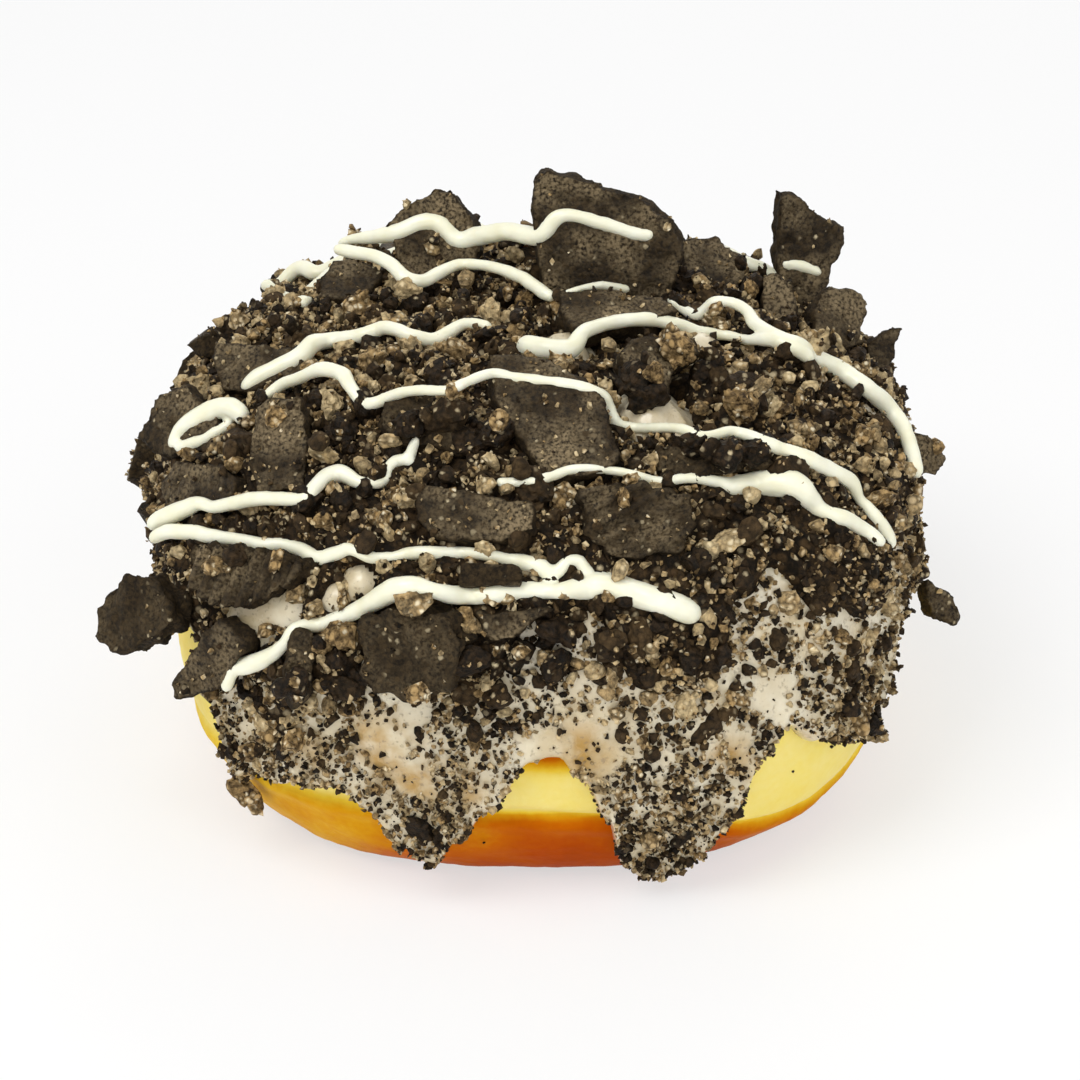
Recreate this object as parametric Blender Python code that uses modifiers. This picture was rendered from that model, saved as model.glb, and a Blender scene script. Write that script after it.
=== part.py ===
# Iced doughnut heaped with crushed dark biscuit.
# A raised, filled kind of doughnut with no hole: a squarish round of fried dough, a thin
# coat of icing that runs down the side in drips, a heap of crumbs on the icing, and broken
# biscuit wafers stuck in the heap.
# Lengths below are in millimetres; MM turns them into metres. The front faces -Y and the
# origin is at the middle of the flat underside.

import math
import random

import bmesh
import bpy
from mathutils import Euler, Matrix, Vector, noise

MM = 0.001
GAP = 0.3                # clearance between pieces that touch
SECTORS = 52             # facets round the doughnut

# Dough
HALF_WIDTH = 45.0        # at the waist, measured halfway between the flats and the corners
WAIST_HEIGHT = 24.0
DOME_HEIGHT = 24.2       # from the waist to the top
DOME_ROUNDNESS = 2.75    # exponent of the dome's superellipse: 2 is an ellipse
FOOT_RADIUS = 33.0
PLAN_ROUNDNESS = 2.6     # exponent of the outline seen from above
CREASE_HEIGHT = 12.5     # where the two fried sides meet
CREASE_DEPTH = 0.7
CREASE_WIDTH = 1.1

# Icing
ICING_INSIDE = 0.5       # distance from the dough to the icing's inner side
ICING_THICKNESS = 1.2
ICING_OUTSIDE = ICING_INSIDE + ICING_THICKNESS

# Crumb heap
BED_INSIDE = ICING_OUTSIDE + GAP + 0.1
BED_ON_TOP = 5.2         # thickness in the middle
BED_AT_WAIST = 1.5
BED_AT_EDGE = 0.7
BED_UNEVENNESS = 1.3     # most that lumps and hollows change the thickness
BED_LUMP_SIZE = 8.0
FLAT_WITHIN = 0.4        # degrees: flatter joints between cut faces are merged

# A "fall" says how far down the side a point is: 0 at the top centre, 1 at the waist and
# 2 at the foot. The three skins share the falls of their upper rings.
UPPER_FALLS = [0.0, 0.15, 0.3, 0.42, 0.52, 0.62, 0.72, 0.82, 0.91]
LOWER_FALLS = [1.0, 1.1, 1.2, 1.28, 1.318, 1.356, 1.45, 1.6, 1.76, 1.9, 2.0]

# Height of the icing's lower edge round the doughnut: (azimuth in degrees, height). Low
# values are the tips of drips. Azimuth 0 is +X and -90 is the front.
ICING_EDGE = [
    (-148, 24.0), (-142, 17.0), (-138, 9.0), (-132, 13.5), (-124, 14.2), (-118, 15.2),
    (-114, 12.6), (-110, 8.0), (-106, 5.6), (-102, 11.0), (-97, 14.0), (-91, 20.0),
    (-87, 21.0), (-84, 18.0), (-80, 12.0), (-76, 7.5), (-71, 3.4), (-67, 5.4),
    (-62, 12.0), (-58, 19.0), (-55, 22.0), (-50, 19.0), (-45, 16.5), (-38, 14.5),
    (-34, 20.0), (-32, 25.0), (-27, 28.0), (-18, 27.0), (-8, 20.0), (2, 24.0),
    (12, 18.0), (18, 14.0), (26, 20.0), (36, 22.0), (45, 16.0), (52, 9.0),
    (58, 15.0), (68, 21.0), (80, 20.0), (90, 14.0), (97, 8.0), (103, 14.0),
    (114, 21.0), (126, 19.0), (135, 12.0), (142, 16.0), (152, 22.0), (163, 18.0),
    (172, 12.0), (180, 17.0), (190, 22.0), (200, 20.0),
]

# Height of the crumb heap's lower edge, in the same way.
BED_EDGE = [
    (-150, 28.0), (-138, 20.5), (-125, 17.0), (-118, 20.0), (-112, 28.0), (-106, 26.0),
    (-98, 21.0), (-90, 27.0), (-82, 26.0), (-76, 18.0), (-68, 17.0), (-61, 26.0),
    (-54, 28.0), (-46, 22.5), (-38, 20.5), (-31, 28.0), (-20, 28.5), (-8, 28.0),
    (10, 26.0), (30, 27.0), (50, 22.0), (72, 27.0), (96, 21.0), (118, 27.0),
    (136, 22.0), (154, 28.0), (172, 22.0), (192, 28.0),
]

# Broken wafers on the side that shows. Each has the place of the middle of its face, its
# tilt (0 lies flat, 90 stands up), the way it faces (0 is the front, 90 is +X), its
# thickness, and the outline of its face, anticlockwise or clockwise, across and up.
WAFERS = [
    ((8.2, 6.0, 61.9), 76, 0, 3.8,
     [(-9, 5.5), (-7.5, 7), (-3, 6), (4, 3.5), (7.5, 1), (9, -2), (7, -9), (-7.5, -9), (-9, 0.5)]),
    ((-12.3, 12.7, 59.2), 62, -8, 3.6,
     [(-6, 0), (-4, 2.5), (0, 5), (2, 4.5), (4.5, 2), (6, -2), (3.5, -6.5), (-3, -6.5)]),
    ((33.3, 21.9, 53.8), 74, 12, 3.4,
     [(-3.5, 6.5), (-1, 5.5), (1, 3), (4.5, 1.5), (4.5, -0.5), (2.5, -3.5), (1.5, -9),
      (-4, -8.5), (-4.5, -1.5), (-4, 3.5)]),
    ((35.9, 9.2, 49.7), 52, 30, 3.4,
     [(0, 4), (4, 2.5), (4.5, 0.5), (2.5, -2), (2.5, -4), (-2, -4), (-4.5, -1), (-2.5, 2.5)]),
    ((41.8, 11.4, 44.3), 68, 20, 2.2,
     [(2.5, 2.5), (0, 2), (-2.5, 1), (-2.5, -2.5), (0.5, -2.5), (1.5, 0)]),
    ((45.6, -6.0, 38.8), 66, 35, 2.4,
     [(-1.5, 3), (0.5, 2.5), (2, 0.5), (2.5, -1), (1, -2), (0, -2.5), (-2, -2), (-2.5, 1)]),
    ((47.4, -9.5, 21.2), 74, 25, 2.4,
     [(-1.5, 3), (2, 0.5), (3, -2.5), (2, -3.5), (-1, -2), (-2, 0.5)]),
    ((-22.4, 9.9, 54.0), 28, -20, 3.2,
     [(-3, 2.5), (-1.5, 3.5), (2, 3), (3.5, 1.5), (3.5, -1.5), (1, -3), (-3, -3.5), (-3.5, 0)]),
    ((-32.7, -8.1, 50.4), 40, -25, 3.4,
     [(-6.5, 3.5), (-4.5, 3), (-1.5, 3.5), (5, 4), (6.5, 1.5), (0.5, -2.5), (-2.5, -3), (-5, 0)]),
    ((-39.0, -13.6, 46.8), 52, -38, 2.6,
     [(-3, 4), (-6.5, 1.5), (-7, -4), (-2.5, -5), (4, -2.5), (4.5, 0), (2.5, 2), (-0.5, 2.5)]),
    ((-37.2, -23.5, 43.8), 58, -50, 3.0,
     [(-6, 1), (-6.5, -2.5), (-4.5, -4.5), (4, -1.5), (5.5, 1), (4.5, 3), (1.5, 3)]),
    ((-28.2, -25.3, 49.7), 44, -30, 3.4,
     [(-5, 3.5), (-4, 5), (0, 6), (3, 1.5), (5, -4), (-0.5, -6), (-3.5, -1.5)]),
    ((-33.6, -36.1, 38.7), 66, -34, 3.6,
     [(-6, 0.5), (-5.5, 3), (2, 4.5), (9.5, 5), (9, 2.5), (3, -2.5), (-1.5, -3.5), (-5, -2.5)]),
    ((-44.0, -31.8, 31.8), 68, -42, 4.0,
     [(-3.5, 3.5), (-0.5, 5), (3, 4), (5, 1.5), (4.5, 0), (-1, -5), (-4, -5.5), (-6, -4.5),
      (-7, -1.5), (-6, 0.5)]),
    ((-36.0, -37.7, 29.4), 78, -34, 2.8,
     [(1, 5.5), (3, 5), (5, 4), (4.5, 2), (2, -2.5), (-0.5, -4), (-4, -5.5), (-5, -4), (-1, 3.5)]),
    ((1.9, -26.7, 54.1), 34, 4, 3.6,
     [(-7, 8), (-0.5, 7.5), (3.5, 4.5), (5.5, 2), (6, -1.5), (7, -5), (5, -7.5), (-1.5, -8),
      (-4, -3), (-6.5, 2)]),
    ((9.1, -4.0, 56.8), 18, 6, 3.4,
     [(-6.5, 3), (-1.5, 3.5), (5.5, 1.5), (7, -1), (3.5, -2.5), (-5.5, -3.5), (-7, 0)]),
    ((13.1, -18.1, 55.4), 40, 14, 3.6,
     [(-4, 2.5), (-2, 4.5), (5.5, 3.5), (5.5, 1.5), (2.5, 0.5), (0.5, -3.5), (-2.5, -4)]),
    ((-6.6, -37.5, 47.5), 52, -10, 3.2,
     [(-7, 1.5), (-5.5, 3), (0, 2.5), (6, 2), (6.5, -1), (2.5, -3), (-4, -3), (-6.5, -1)]),
    ((10.4, -37.7, 47.4), 54, 12, 3.2,
     [(-6, 4), (1, 4), (6.5, 2), (6.5, -1.5), (4.5, -4.5), (-3, -4.5), (-5.5, -1.5)]),
    ((-13.6, -47.2, 36.0), 76, -18, 4.2,
     [(-6, 3), (-1.5, 5), (4, 5), (6, 2), (5, -3.5), (-0.5, -5.5), (-5.5, -4)]),
    ((-25.4, -43.4, 31.8), 72, 5, 2.6,
     [(-1, 4.5), (1.5, 4.5), (2, 2), (1, -3.5), (-1, -4.5), (-2, -2), (-1.5, 1.5)]),
    ((-3.6, -44.8, 38.2), 62, -4, 2.8,
     [(-3, 1.5), (5.5, 2), (4, 1), (1, -1.5), (-1.5, -2), (-2.5, -1)]),
    ((-4.9, -42.8, 43.4), 48, -4, 2.6,
     [(-3.5, 1), (3, 1), (3.5, -1), (-3.5, -1.5)]),
    ((-11.2, -26.0, 53.2), 38, -12, 3.8,
     [(-6, 2), (-2, 3.5), (1, 3.5), (2.5, 0), (4.5, -3.5), (-4, -3.5), (-6.5, -1)]),
    ((18.6, -30.0, 50.6), 44, 14, 3.6,
     [(-5.5, 2.5), (0, 2.5), (6.5, 1), (7.5, -1.5), (-1, -2.5), (-6.5, -1)]),
    ((21.5, 13.2, 54.6), 40, 10, 4.0,
     [(-4, 3.5), (0.5, 4), (1.5, 2.5), (3.5, 0.5), (3, -2.5), (0.5, -4), (-4.5, -2.5)]),
    ((28.3, 8.3, 52.0), 50, 8, 3.0,
     [(-1.5, 3.5), (1, 3.5), (2.5, 0), (2, -4), (-1.5, -3.5), (-2, -0.5)]),
]

# Broken wafers on the far side: rows of (fall, azimuths), which take their outlines in turn
# from the list above.
FAR_ROWS = [
    (0.42, [66, 92, 118]),
    (0.62, [56, 82, 107, 133, 160]),
    (0.86, [34, 68, 95, 121, 148, 175]),
]
FAR_OUTLINES = [11, 8, 15, 19, 3, 24, 18, 5]
FAR_THICKNESS = 3.2
FAR_SIZE = 0.85          # smaller than the pieces in front, by this factor
FAR_LEAN = 9.0           # most degrees that a piece leans off the surface

COLOURS = {
    "fried_dough": ((0.62, 0.30, 0.06), 0.5),
    "icing": ((0.80, 0.72, 0.64), 0.25),
    "biscuit_crumb": ((0.050, 0.036, 0.026), 0.75),
    "biscuit_wafer": ((0.040, 0.030, 0.024), 0.7),
}


def clear_scene():
    for thing in list(bpy.data.objects):
        bpy.data.objects.remove(thing, do_unlink=True)


def make_collection(name):
    collection = bpy.data.collections.new(name)
    bpy.context.scene.collection.children.link(collection)
    return collection


def make_material(name):
    colour, roughness = COLOURS[name]
    material = bpy.data.materials.new(name)
    material.use_nodes = True
    shader = material.node_tree.nodes["Principled BSDF"]
    shader.inputs["Base Color"].default_value = (*colour, 1.0)
    shader.inputs["Roughness"].default_value = roughness
    shader.inputs["Metallic"].default_value = 0.0
    return material


# The dough's outline, on which everything else lies


def outline(fall):
    """Radius and height of the dough at a fall, without its crease."""
    if fall <= 1.0:
        angle = fall * math.pi / 2
        power = 2 / DOME_ROUNDNESS
        radius = HALF_WIDTH * math.sin(angle) ** power
        return radius, WAIST_HEIGHT + DOME_HEIGHT * max(math.cos(angle), 0.0) ** power
    angle = (fall - 1.0) * math.pi / 2
    radius = FOOT_RADIUS + (HALF_WIDTH - FOOT_RADIUS) * math.cos(angle)
    return radius, WAIST_HEIGHT * (1 - math.sin(angle))


def outward(fall):
    """Unit direction, across and up, that points out of the outline."""
    step = 0.01
    before = outline(max(fall - step, 0.0))
    after = outline(min(fall + step, 2.0))
    direction = Vector((before[1] - after[1], after[0] - before[0]))
    return direction.normalized()


def fall_at(height):
    """The fall at which the outline has this height."""
    if height >= WAIST_HEIGHT:
        share = (height - WAIST_HEIGHT) / DOME_HEIGHT
        return math.acos(share ** (DOME_ROUNDNESS / 2)) / (math.pi / 2)
    return 1.0 + math.asin((WAIST_HEIGHT - height) / WAIST_HEIGHT) / (math.pi / 2)


def plan_factor(angle):
    """How far the plan reaches at an angle, where 1 is halfway from flat to corner."""
    across = abs(math.cos(angle)) ** PLAN_ROUNDNESS
    along = abs(math.sin(angle)) ** PLAN_ROUNDNESS
    corner = 2 ** (0.5 - 1 / PLAN_ROUNDNESS)
    return (across + along) ** (-1 / PLAN_ROUNDNESS) / ((1 + corner) / 2)


def body_point(fall, angle, offset=0.0):
    """The point in space at a fall and an angle, an offset out from the dough."""
    radius, height = outline(fall)
    if 0.0 < fall < 2.0:
        direction = outward(fall)
        radius += direction.x * offset
        height += direction.y * offset
    elif fall == 0.0:
        height += offset
    reach = radius * plan_factor(angle)
    return Vector((reach * math.cos(angle), reach * math.sin(angle), height)) * MM


def edge_height(edge, angle):
    """Reads a closed list of (azimuth, height) at an angle, on a smooth curve."""
    azimuth = math.degrees(angle)
    while azimuth < edge[0][0]:
        azimuth += 360
    while azimuth >= edge[0][0] + 360:
        azimuth -= 360
    closed = edge + [(edge[0][0] + 360, edge[0][1])]
    for start, end in zip(closed, closed[1:]):
        if start[0] <= azimuth <= end[0]:
            share = (azimuth - start[0]) / (end[0] - start[0])
            eased = share * share * (3 - 2 * share)
            return start[1] + (end[1] - start[1]) * eased
    return edge[0][1]


# Turned pieces: a blank is spun, then each of its points is moved to its place


def turned_mesh(name, profile):
    """Spins a profile of (across, up) points, top to bottom, into a closed mesh."""
    mesh = bpy.data.meshes.new(name)
    points = [(across, 0.0, up) for across, up in profile]
    links = [(index, index + 1) for index in range(len(points) - 1)]
    mesh.from_pydata(points, links, [])
    blank = bpy.data.objects.new(name + "_blank", mesh)
    bpy.context.scene.collection.objects.link(blank)
    screw = blank.modifiers.new("Screw", "SCREW")
    screw.axis = "Z"
    screw.angle = math.tau
    screw.steps = SECTORS
    screw.render_steps = SECTORS
    screw.use_merge_vertices = True
    screw.merge_threshold = 0.0001
    graph = bpy.context.evaluated_depsgraph_get()
    turned = bpy.data.meshes.new_from_object(blank.evaluated_get(graph))
    turned.name = name
    bpy.data.objects.remove(blank, do_unlink=True)
    return turned


def add_piece(name, mesh, material, collection, smooth=True):
    piece = bpy.data.objects.new(name, mesh)
    collection.objects.link(piece)
    mesh.materials.clear()
    mesh.materials.append(material)
    if smooth:
        mesh.shade_smooth()
        mesh.set_sharp_from_angle(angle=math.radians(40))
    return piece


def make_dough(collection):
    falls = UPPER_FALLS + LOWER_FALLS
    profile = [(index, -float(index)) for index in range(len(falls))]
    last = len(falls) - 1
    profile.append((0.0, -float(last + 1)))
    mesh = turned_mesh("dough", profile)
    for vertex in mesh.vertices:
        across = math.hypot(vertex.co.x, vertex.co.y)
        angle = math.atan2(vertex.co.y, vertex.co.x)
        ring = round(-vertex.co.z)
        if ring > last:
            vertex.co = Vector((0.0, 0.0, 0.0))
            continue
        fall = falls[ring] if across > 0.5 else 0.0
        height = outline(fall)[1]
        closeness = (height - CREASE_HEIGHT) / CREASE_WIDTH
        groove = CREASE_DEPTH * math.exp(-closeness * closeness) if fall > 1.0 else 0.0
        vertex.co = body_point(fall, angle, -groove)
    return add_piece("dough", mesh, make_material("fried_dough"), collection)


def make_skin(name, shares, edge, layer_offset):
    """Makes a closed skin over the dough, with an uneven lower edge.

    Its blank is a flat coin: how far across says which ring a point is on, and the height
    says which side. layer_offset(side, fall, angle, share) gives the distance from the
    dough, where side is 1 outside, 0 inside and 0.5 at the rim.
    """
    rings = len(UPPER_FALLS) + len(shares)
    outside = [(float(ring), 1.0) for ring in range(rings)]
    rim = [(float(rings), 0.5)]
    inside = [(float(ring), 0.0) for ring in reversed(range(rings))]
    mesh = turned_mesh(name, outside + rim + inside)
    start = UPPER_FALLS[-1]
    for vertex in mesh.vertices:
        ring = round(math.hypot(vertex.co.x, vertex.co.y))
        angle = math.atan2(vertex.co.y, vertex.co.x)
        side = vertex.co.z
        share = 0.0
        if ring < len(UPPER_FALLS):
            fall = UPPER_FALLS[ring]
        else:
            lowest = fall_at(edge_height(edge, angle))
            share = (shares + [1.0])[ring - len(UPPER_FALLS)]
            fall = start + (lowest - start) * share
        vertex.co = body_point(fall, angle, layer_offset(side, fall, angle, share))
    return mesh


def icing_offset(side, fall, angle, share):
    return ICING_INSIDE + ICING_THICKNESS * side


def bed_offset(side, fall, angle, share):
    if side < 0.25:
        return BED_INSIDE
    if fall <= 1.0:
        thickness = BED_AT_WAIST + (BED_ON_TOP - BED_AT_WAIST) * math.cos(fall * math.pi / 2)
    else:
        thickness = BED_AT_WAIST
    thickness += (BED_AT_EDGE - BED_AT_WAIST) * share
    spot = body_point(fall, angle) / MM / BED_LUMP_SIZE
    bumps = noise.noise(spot) + 0.6 * noise.noise(spot * 2.3)
    thickness += BED_UNEVENNESS * bumps * min(1.0, thickness / BED_ON_TOP + 0.2)
    return BED_INSIDE + max(thickness, 0.5) * side


# Broken wafers


def wafer_mesh(name, outline_points, thickness):
    """A flat broken piece: its face lies at height 0 and its back below."""
    curve = bpy.data.curves.new(name, "CURVE")
    curve.dimensions = "2D"
    curve.fill_mode = "BOTH"
    curve.extrude = thickness / 2 * MM
    spline = curve.splines.new("POLY")
    spline.points.add(len(outline_points) - 1)
    for point, (across, up) in zip(spline.points, outline_points):
        point.co = (across * MM, up * MM, 0.0, 1.0)
    spline.use_cyclic_u = True
    blank = bpy.data.objects.new(name + "_blank", curve)
    bpy.context.scene.collection.objects.link(blank)
    graph = bpy.context.evaluated_depsgraph_get()
    mesh = bpy.data.meshes.new_from_object(blank.evaluated_get(graph))
    mesh.name = name
    bpy.data.objects.remove(blank, do_unlink=True)
    bpy.data.curves.remove(curve)
    shape = bmesh.new()
    shape.from_mesh(mesh)
    bmesh.ops.remove_doubles(shape, verts=shape.verts, dist=0.00001)
    bmesh.ops.translate(shape, verts=shape.verts, vec=(0.0, 0.0, -thickness / 2 * MM))
    bmesh.ops.recalc_face_normals(shape, faces=shape.faces)
    shape.to_mesh(mesh)
    shape.free()
    return mesh


def grown_copy(mesh):
    """A copy whose faces stand out by the gap, to cut room for a piece."""
    shape = bmesh.new()
    shape.from_mesh(mesh)
    shape.normal_update()
    moves = [vertex.normal * vertex.calc_shell_factor() * GAP * MM for vertex in shape.verts]
    for vertex, move in zip(shape.verts, moves):
        vertex.co += move
    grown = bpy.data.meshes.new(mesh.name + "_room")
    shape.to_mesh(grown)
    shape.free()
    return grown


def far_wafers():
    """Places for the pieces on the far side, lying on the heap and leaning a little."""
    chance = random.Random(7)
    rows = []
    picked = 0
    for fall, azimuths in FAR_ROWS:
        for azimuth in azimuths:
            angle = math.radians(azimuth)
            direction = outward(fall)
            depth = BED_INSIDE + GAP + FAR_THICKNESS + 0.9
            place = body_point(fall, angle, depth) / MM
            slope = math.degrees(math.atan2(direction.x, direction.y))
            tilt = slope + chance.uniform(-FAR_LEAN, FAR_LEAN)
            facing = azimuth + 90 + chance.uniform(-FAR_LEAN, FAR_LEAN)
            points = WAFERS[FAR_OUTLINES[picked % len(FAR_OUTLINES)]][4]
            size = FAR_SIZE * chance.uniform(0.85, 1.1)
            if chance.random() < 0.5:
                points = [(-across, up) for across, up in reversed(points)]
            points = [(across * size, up * size) for across, up in points]
            rows.append((place, tilt, facing, FAR_THICKNESS, points))
            picked += 1
    return rows


def make_wafers(parts, cutters):
    material = make_material("biscuit_wafer")
    for number, row in enumerate(WAFERS + far_wafers(), start=1):
        place, tilt, facing, thickness, points = row
        name = f"wafer_{number:02d}"
        mesh = wafer_mesh(name, points, thickness)
        turn = Euler((math.radians(tilt), 0.0, math.radians(facing)), "XYZ")
        room = bpy.data.objects.new(name + "_room", grown_copy(mesh))
        cutters.objects.link(room)
        room.hide_render = True
        room.display_type = "WIRE"
        piece = add_piece(name, mesh, material, parts, smooth=False)
        for thing in (piece, room):
            thing.location = Vector(place) * MM
            thing.rotation_euler = turn


def make_bed(parts, cutters):
    """The crumb heap, with room cut in it for every wafer."""
    mesh = make_skin("crumb_bed", [0.5], BED_EDGE, bed_offset)
    bed = add_piece("crumb_bed", mesh, make_material("biscuit_crumb"), parts)
    for room in cutters.objects:
        cut = bed.modifiers.new(room.name, "BOOLEAN")
        cut.operation = "DIFFERENCE"
        cut.solver = "EXACT"
        cut.object = room
    bpy.context.view_layer.update()
    graph = bpy.context.evaluated_depsgraph_get()
    cut_mesh = bpy.data.meshes.new_from_object(bed.evaluated_get(graph))
    bed.modifiers.clear()
    bed.data = cut_mesh
    keep_largest_body(cut_mesh)
    return bed


def keep_largest_body(mesh):
    """Crumbs that the cuts left loose are dropped."""
    shape = bmesh.new()
    shape.from_mesh(mesh)
    waiting = set(shape.verts)
    bodies = []
    while waiting:
        body = set()
        front = [waiting.pop()]
        while front:
            vertex = front.pop()
            body.add(vertex)
            for edge in vertex.link_edges:
                other = edge.other_vert(vertex)
                if other in waiting:
                    waiting.remove(other)
                    front.append(other)
        bodies.append(body)
    bodies.sort(key=len)
    loose = [vertex for body in bodies[:-1] for vertex in body]
    bmesh.ops.delete(shape, geom=loose, context="VERTS")
    bmesh.ops.dissolve_limit(
        shape, angle_limit=math.radians(FLAT_WITHIN), verts=shape.verts, edges=shape.edges)
    bmesh.ops.triangulate(shape, faces=shape.faces)
    drop_doubled_faces(shape)
    shape.to_mesh(mesh)
    shape.free()


def drop_doubled_faces(shape):
    """Removes pairs of faces that lie back to back on the same three corners."""
    found = {}
    for face in shape.faces:
        found.setdefault(frozenset(face.verts), []).append(face)
    doubled = [face for group in found.values() if len(group) > 1 for face in group]
    bmesh.ops.delete(shape, geom=doubled, context="FACES")


def main():
    clear_scene()
    parts = make_collection("iced_doughnut")
    cutters = make_collection("cutters")
    make_dough(parts)
    icing_mesh = make_skin("icing", [0.22, 0.44, 0.66, 0.84, 0.95], ICING_EDGE, icing_offset)
    add_piece("icing", icing_mesh, make_material("icing"), parts)
    make_wafers(parts, cutters)
    make_bed(parts, cutters)


main()
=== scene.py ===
# Iced doughnut heaped with crushed dark biscuit: the looks around the CAD frame.
# Numbers in the shape functions are millimetres; meshes are written in metres.

import math

import bmesh
import bpy
import numpy as np
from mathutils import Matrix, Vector, noise
from mathutils.bvhtree import BVHTree
from mathutils.kdtree import KDTree


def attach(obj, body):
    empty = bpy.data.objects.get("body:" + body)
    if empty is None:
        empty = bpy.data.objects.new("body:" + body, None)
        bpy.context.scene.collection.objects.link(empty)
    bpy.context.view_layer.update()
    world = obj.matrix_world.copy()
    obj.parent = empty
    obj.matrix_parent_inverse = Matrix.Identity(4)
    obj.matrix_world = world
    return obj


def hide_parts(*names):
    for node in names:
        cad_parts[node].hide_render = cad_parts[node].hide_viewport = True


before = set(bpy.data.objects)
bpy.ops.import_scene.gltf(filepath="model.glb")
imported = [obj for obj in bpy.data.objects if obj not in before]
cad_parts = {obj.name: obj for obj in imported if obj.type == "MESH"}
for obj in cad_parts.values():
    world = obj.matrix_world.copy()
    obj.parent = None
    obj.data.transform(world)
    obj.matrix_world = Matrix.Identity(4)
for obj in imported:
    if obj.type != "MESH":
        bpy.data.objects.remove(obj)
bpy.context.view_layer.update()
mm = 0.001


# The doughnut's outline, the same as the CAD's, with the topping's thicknesses.

body = {
    "halfWidth": 45.0,       # at the waist, halfway between the flats and the corners
    "waistHeight": 24.0,
    "domeHeight": 24.2,
    "domeRoundness": 2.75,   # 2 is an ellipse
    "footRadius": 33.0,
    "planRoundness": 2.6,    # of the outline seen from above
    "icingOutside": 1.7,     # from the dough to the icing's outer side
    "bedOnTop": 5.2,         # thickness of the heap in the middle
    "bedAtWaist": 1.5,
    "bedUnevenness": 1.3,
    "bedLumpSize": 8.0,
}

# Height of the icing's lower edge: (azimuth in degrees, height), 0 is +X, -90 the front.
icingEdge = [
    (-150, 32.0), (-143, 29.0), (-139, 22.0), (-136, 11.0), (-132, 13.5), (-124, 14.2), (-118, 15.2),
    (-114, 12.6), (-110, 8.0), (-106, 5.6), (-102, 9.5), (-97, 14.0), (-91, 20.0), (-87, 21.0),
    (-84, 18.0), (-80, 12.5), (-77, 6.0), (-72, 2.8), (-67, 4.0), (-63, 10.0), (-59, 18.0), (-55, 22.0),
    (-50, 19.0), (-45, 16.5), (-38, 14.5), (-34, 20.0), (-32, 25.0), (-27, 28.0), (-18, 27.0),
    (-8, 20.0), (2, 24.0), (12, 18.0), (18, 14.0), (26, 20.0), (36, 22.0), (45, 16.0), (52, 9.0),
    (58, 15.0), (68, 21.0), (80, 20.0), (90, 14.0), (97, 8.0), (103, 14.0), (114, 21.0), (126, 19.0),
    (135, 12.0), (142, 16.0), (152, 22.0), (163, 18.0), (172, 12.0), (180, 17.0), (190, 22.0),
    (200, 20.0),
]

# Height of the crumb heap's lower edge, in the same way.
bedEdge = [
    (-150, 28.0), (-138, 20.5), (-125, 17.0), (-118, 20.0), (-112, 28.0), (-106, 26.0), (-98, 21.0),
    (-90, 27.0), (-82, 26.0), (-76, 18.0), (-68, 17.0), (-61, 26.0), (-54, 28.0), (-46, 22.5),
    (-38, 20.5), (-31, 28.0), (-20, 28.5), (-8, 28.0), (10, 26.0), (30, 27.0), (50, 22.0), (72, 27.0),
    (96, 21.0), (118, 27.0), (136, 22.0), (154, 28.0), (172, 22.0), (192, 28.0),
]

# Spots where the icing shows through: place on the dough, radius, and how far the icing
# swells there.
bareSpots = [
    ((12.4, -19.3, 46.8), 4.8, 4.6), ((2.5, -7.7, 48.1), 4.2, 5.2), ((17.9, -4.5, 47.3), 3.4, 4.8),
    ((36.1, -3.8, 40.6), 2.6, 2.2), ((40.2, 3.3, 35.4), 2.4, 1.8), ((-25.8, -35.0, 35.5), 3.4, 1.2),
    ((-29.4, -33.6, 33.6), 3.8, 1.0), ((-18.0, -36.8, 38.5), 1.9, 1.6), ((-20.8, -36.8, 36.8), 1.6, 1.2),
    ((-13.5, -42.0, 27.6), 3.0, 0.0), ((-15.5, -41.5, 23.0), 3.6, 0.0), ((-12.9, -42.0, 18.6), 2.8, 0.0),
    ((4.5, -43.0, 25.0), 3.0, 0.0), ((1.2, -43.0, 22.4), 3.4, 0.0), ((7.0, -42.6, 22.0), 2.4, 0.0),
    ((24.6, -38.5, 26.7), 3.8, 0.0), ((21.0, -40.2, 22.5), 2.2, 0.0), ((-30.5, -33.6, 20.0), 2.2, 0.0),
    ((31.5, -32.5, 31.5), 1.8, 0.0), ((35.5, -27.6, 30.5), 2.0, 0.0), ((41.8, 20.0, 34.0), 3.4, 0.4),
    ((10.0, 41.0, 35.0), 3.6, 0.5), ((-26.0, 36.0, 32.0), 3.8, 0.4), ((-43.0, 12.0, 30.0), 3.4, 0.3),
    ((-8.0, 20.0, 47.0), 3.4, 3.2), ((30.0, 33.0, 30.0), 3.4, 0.2),
]


def outline(fall):
    # radius and height; fall is 0 at the top centre, 1 at the waist and 2 at the foot
    upper = np.clip(fall, 0.0, 1.0) * math.pi / 2
    lower = (np.clip(fall, 1.0, 2.0) - 1.0) * math.pi / 2
    power = 2 / body["domeRoundness"]
    foot = body["footRadius"]
    waist = body["halfWidth"]
    radius = np.where(fall <= 1.0, waist * np.sin(upper) ** power, foot + (waist - foot) * np.cos(lower))
    rise = body["domeHeight"] * np.clip(np.cos(upper), 0.0, 1.0) ** power
    height = np.where(fall <= 1.0, body["waistHeight"] + rise, body["waistHeight"] * (1 - np.sin(lower)))
    return radius, height


def outward(fall):
    # unit direction out of the outline: across, up
    before = outline(np.clip(fall - 0.01, 0.0, 2.0))
    after = outline(np.clip(fall + 0.01, 0.0, 2.0))
    across = before[1] - after[1]
    up = after[0] - before[0]
    length = np.hypot(across, up)
    return across / length, up / length


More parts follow.
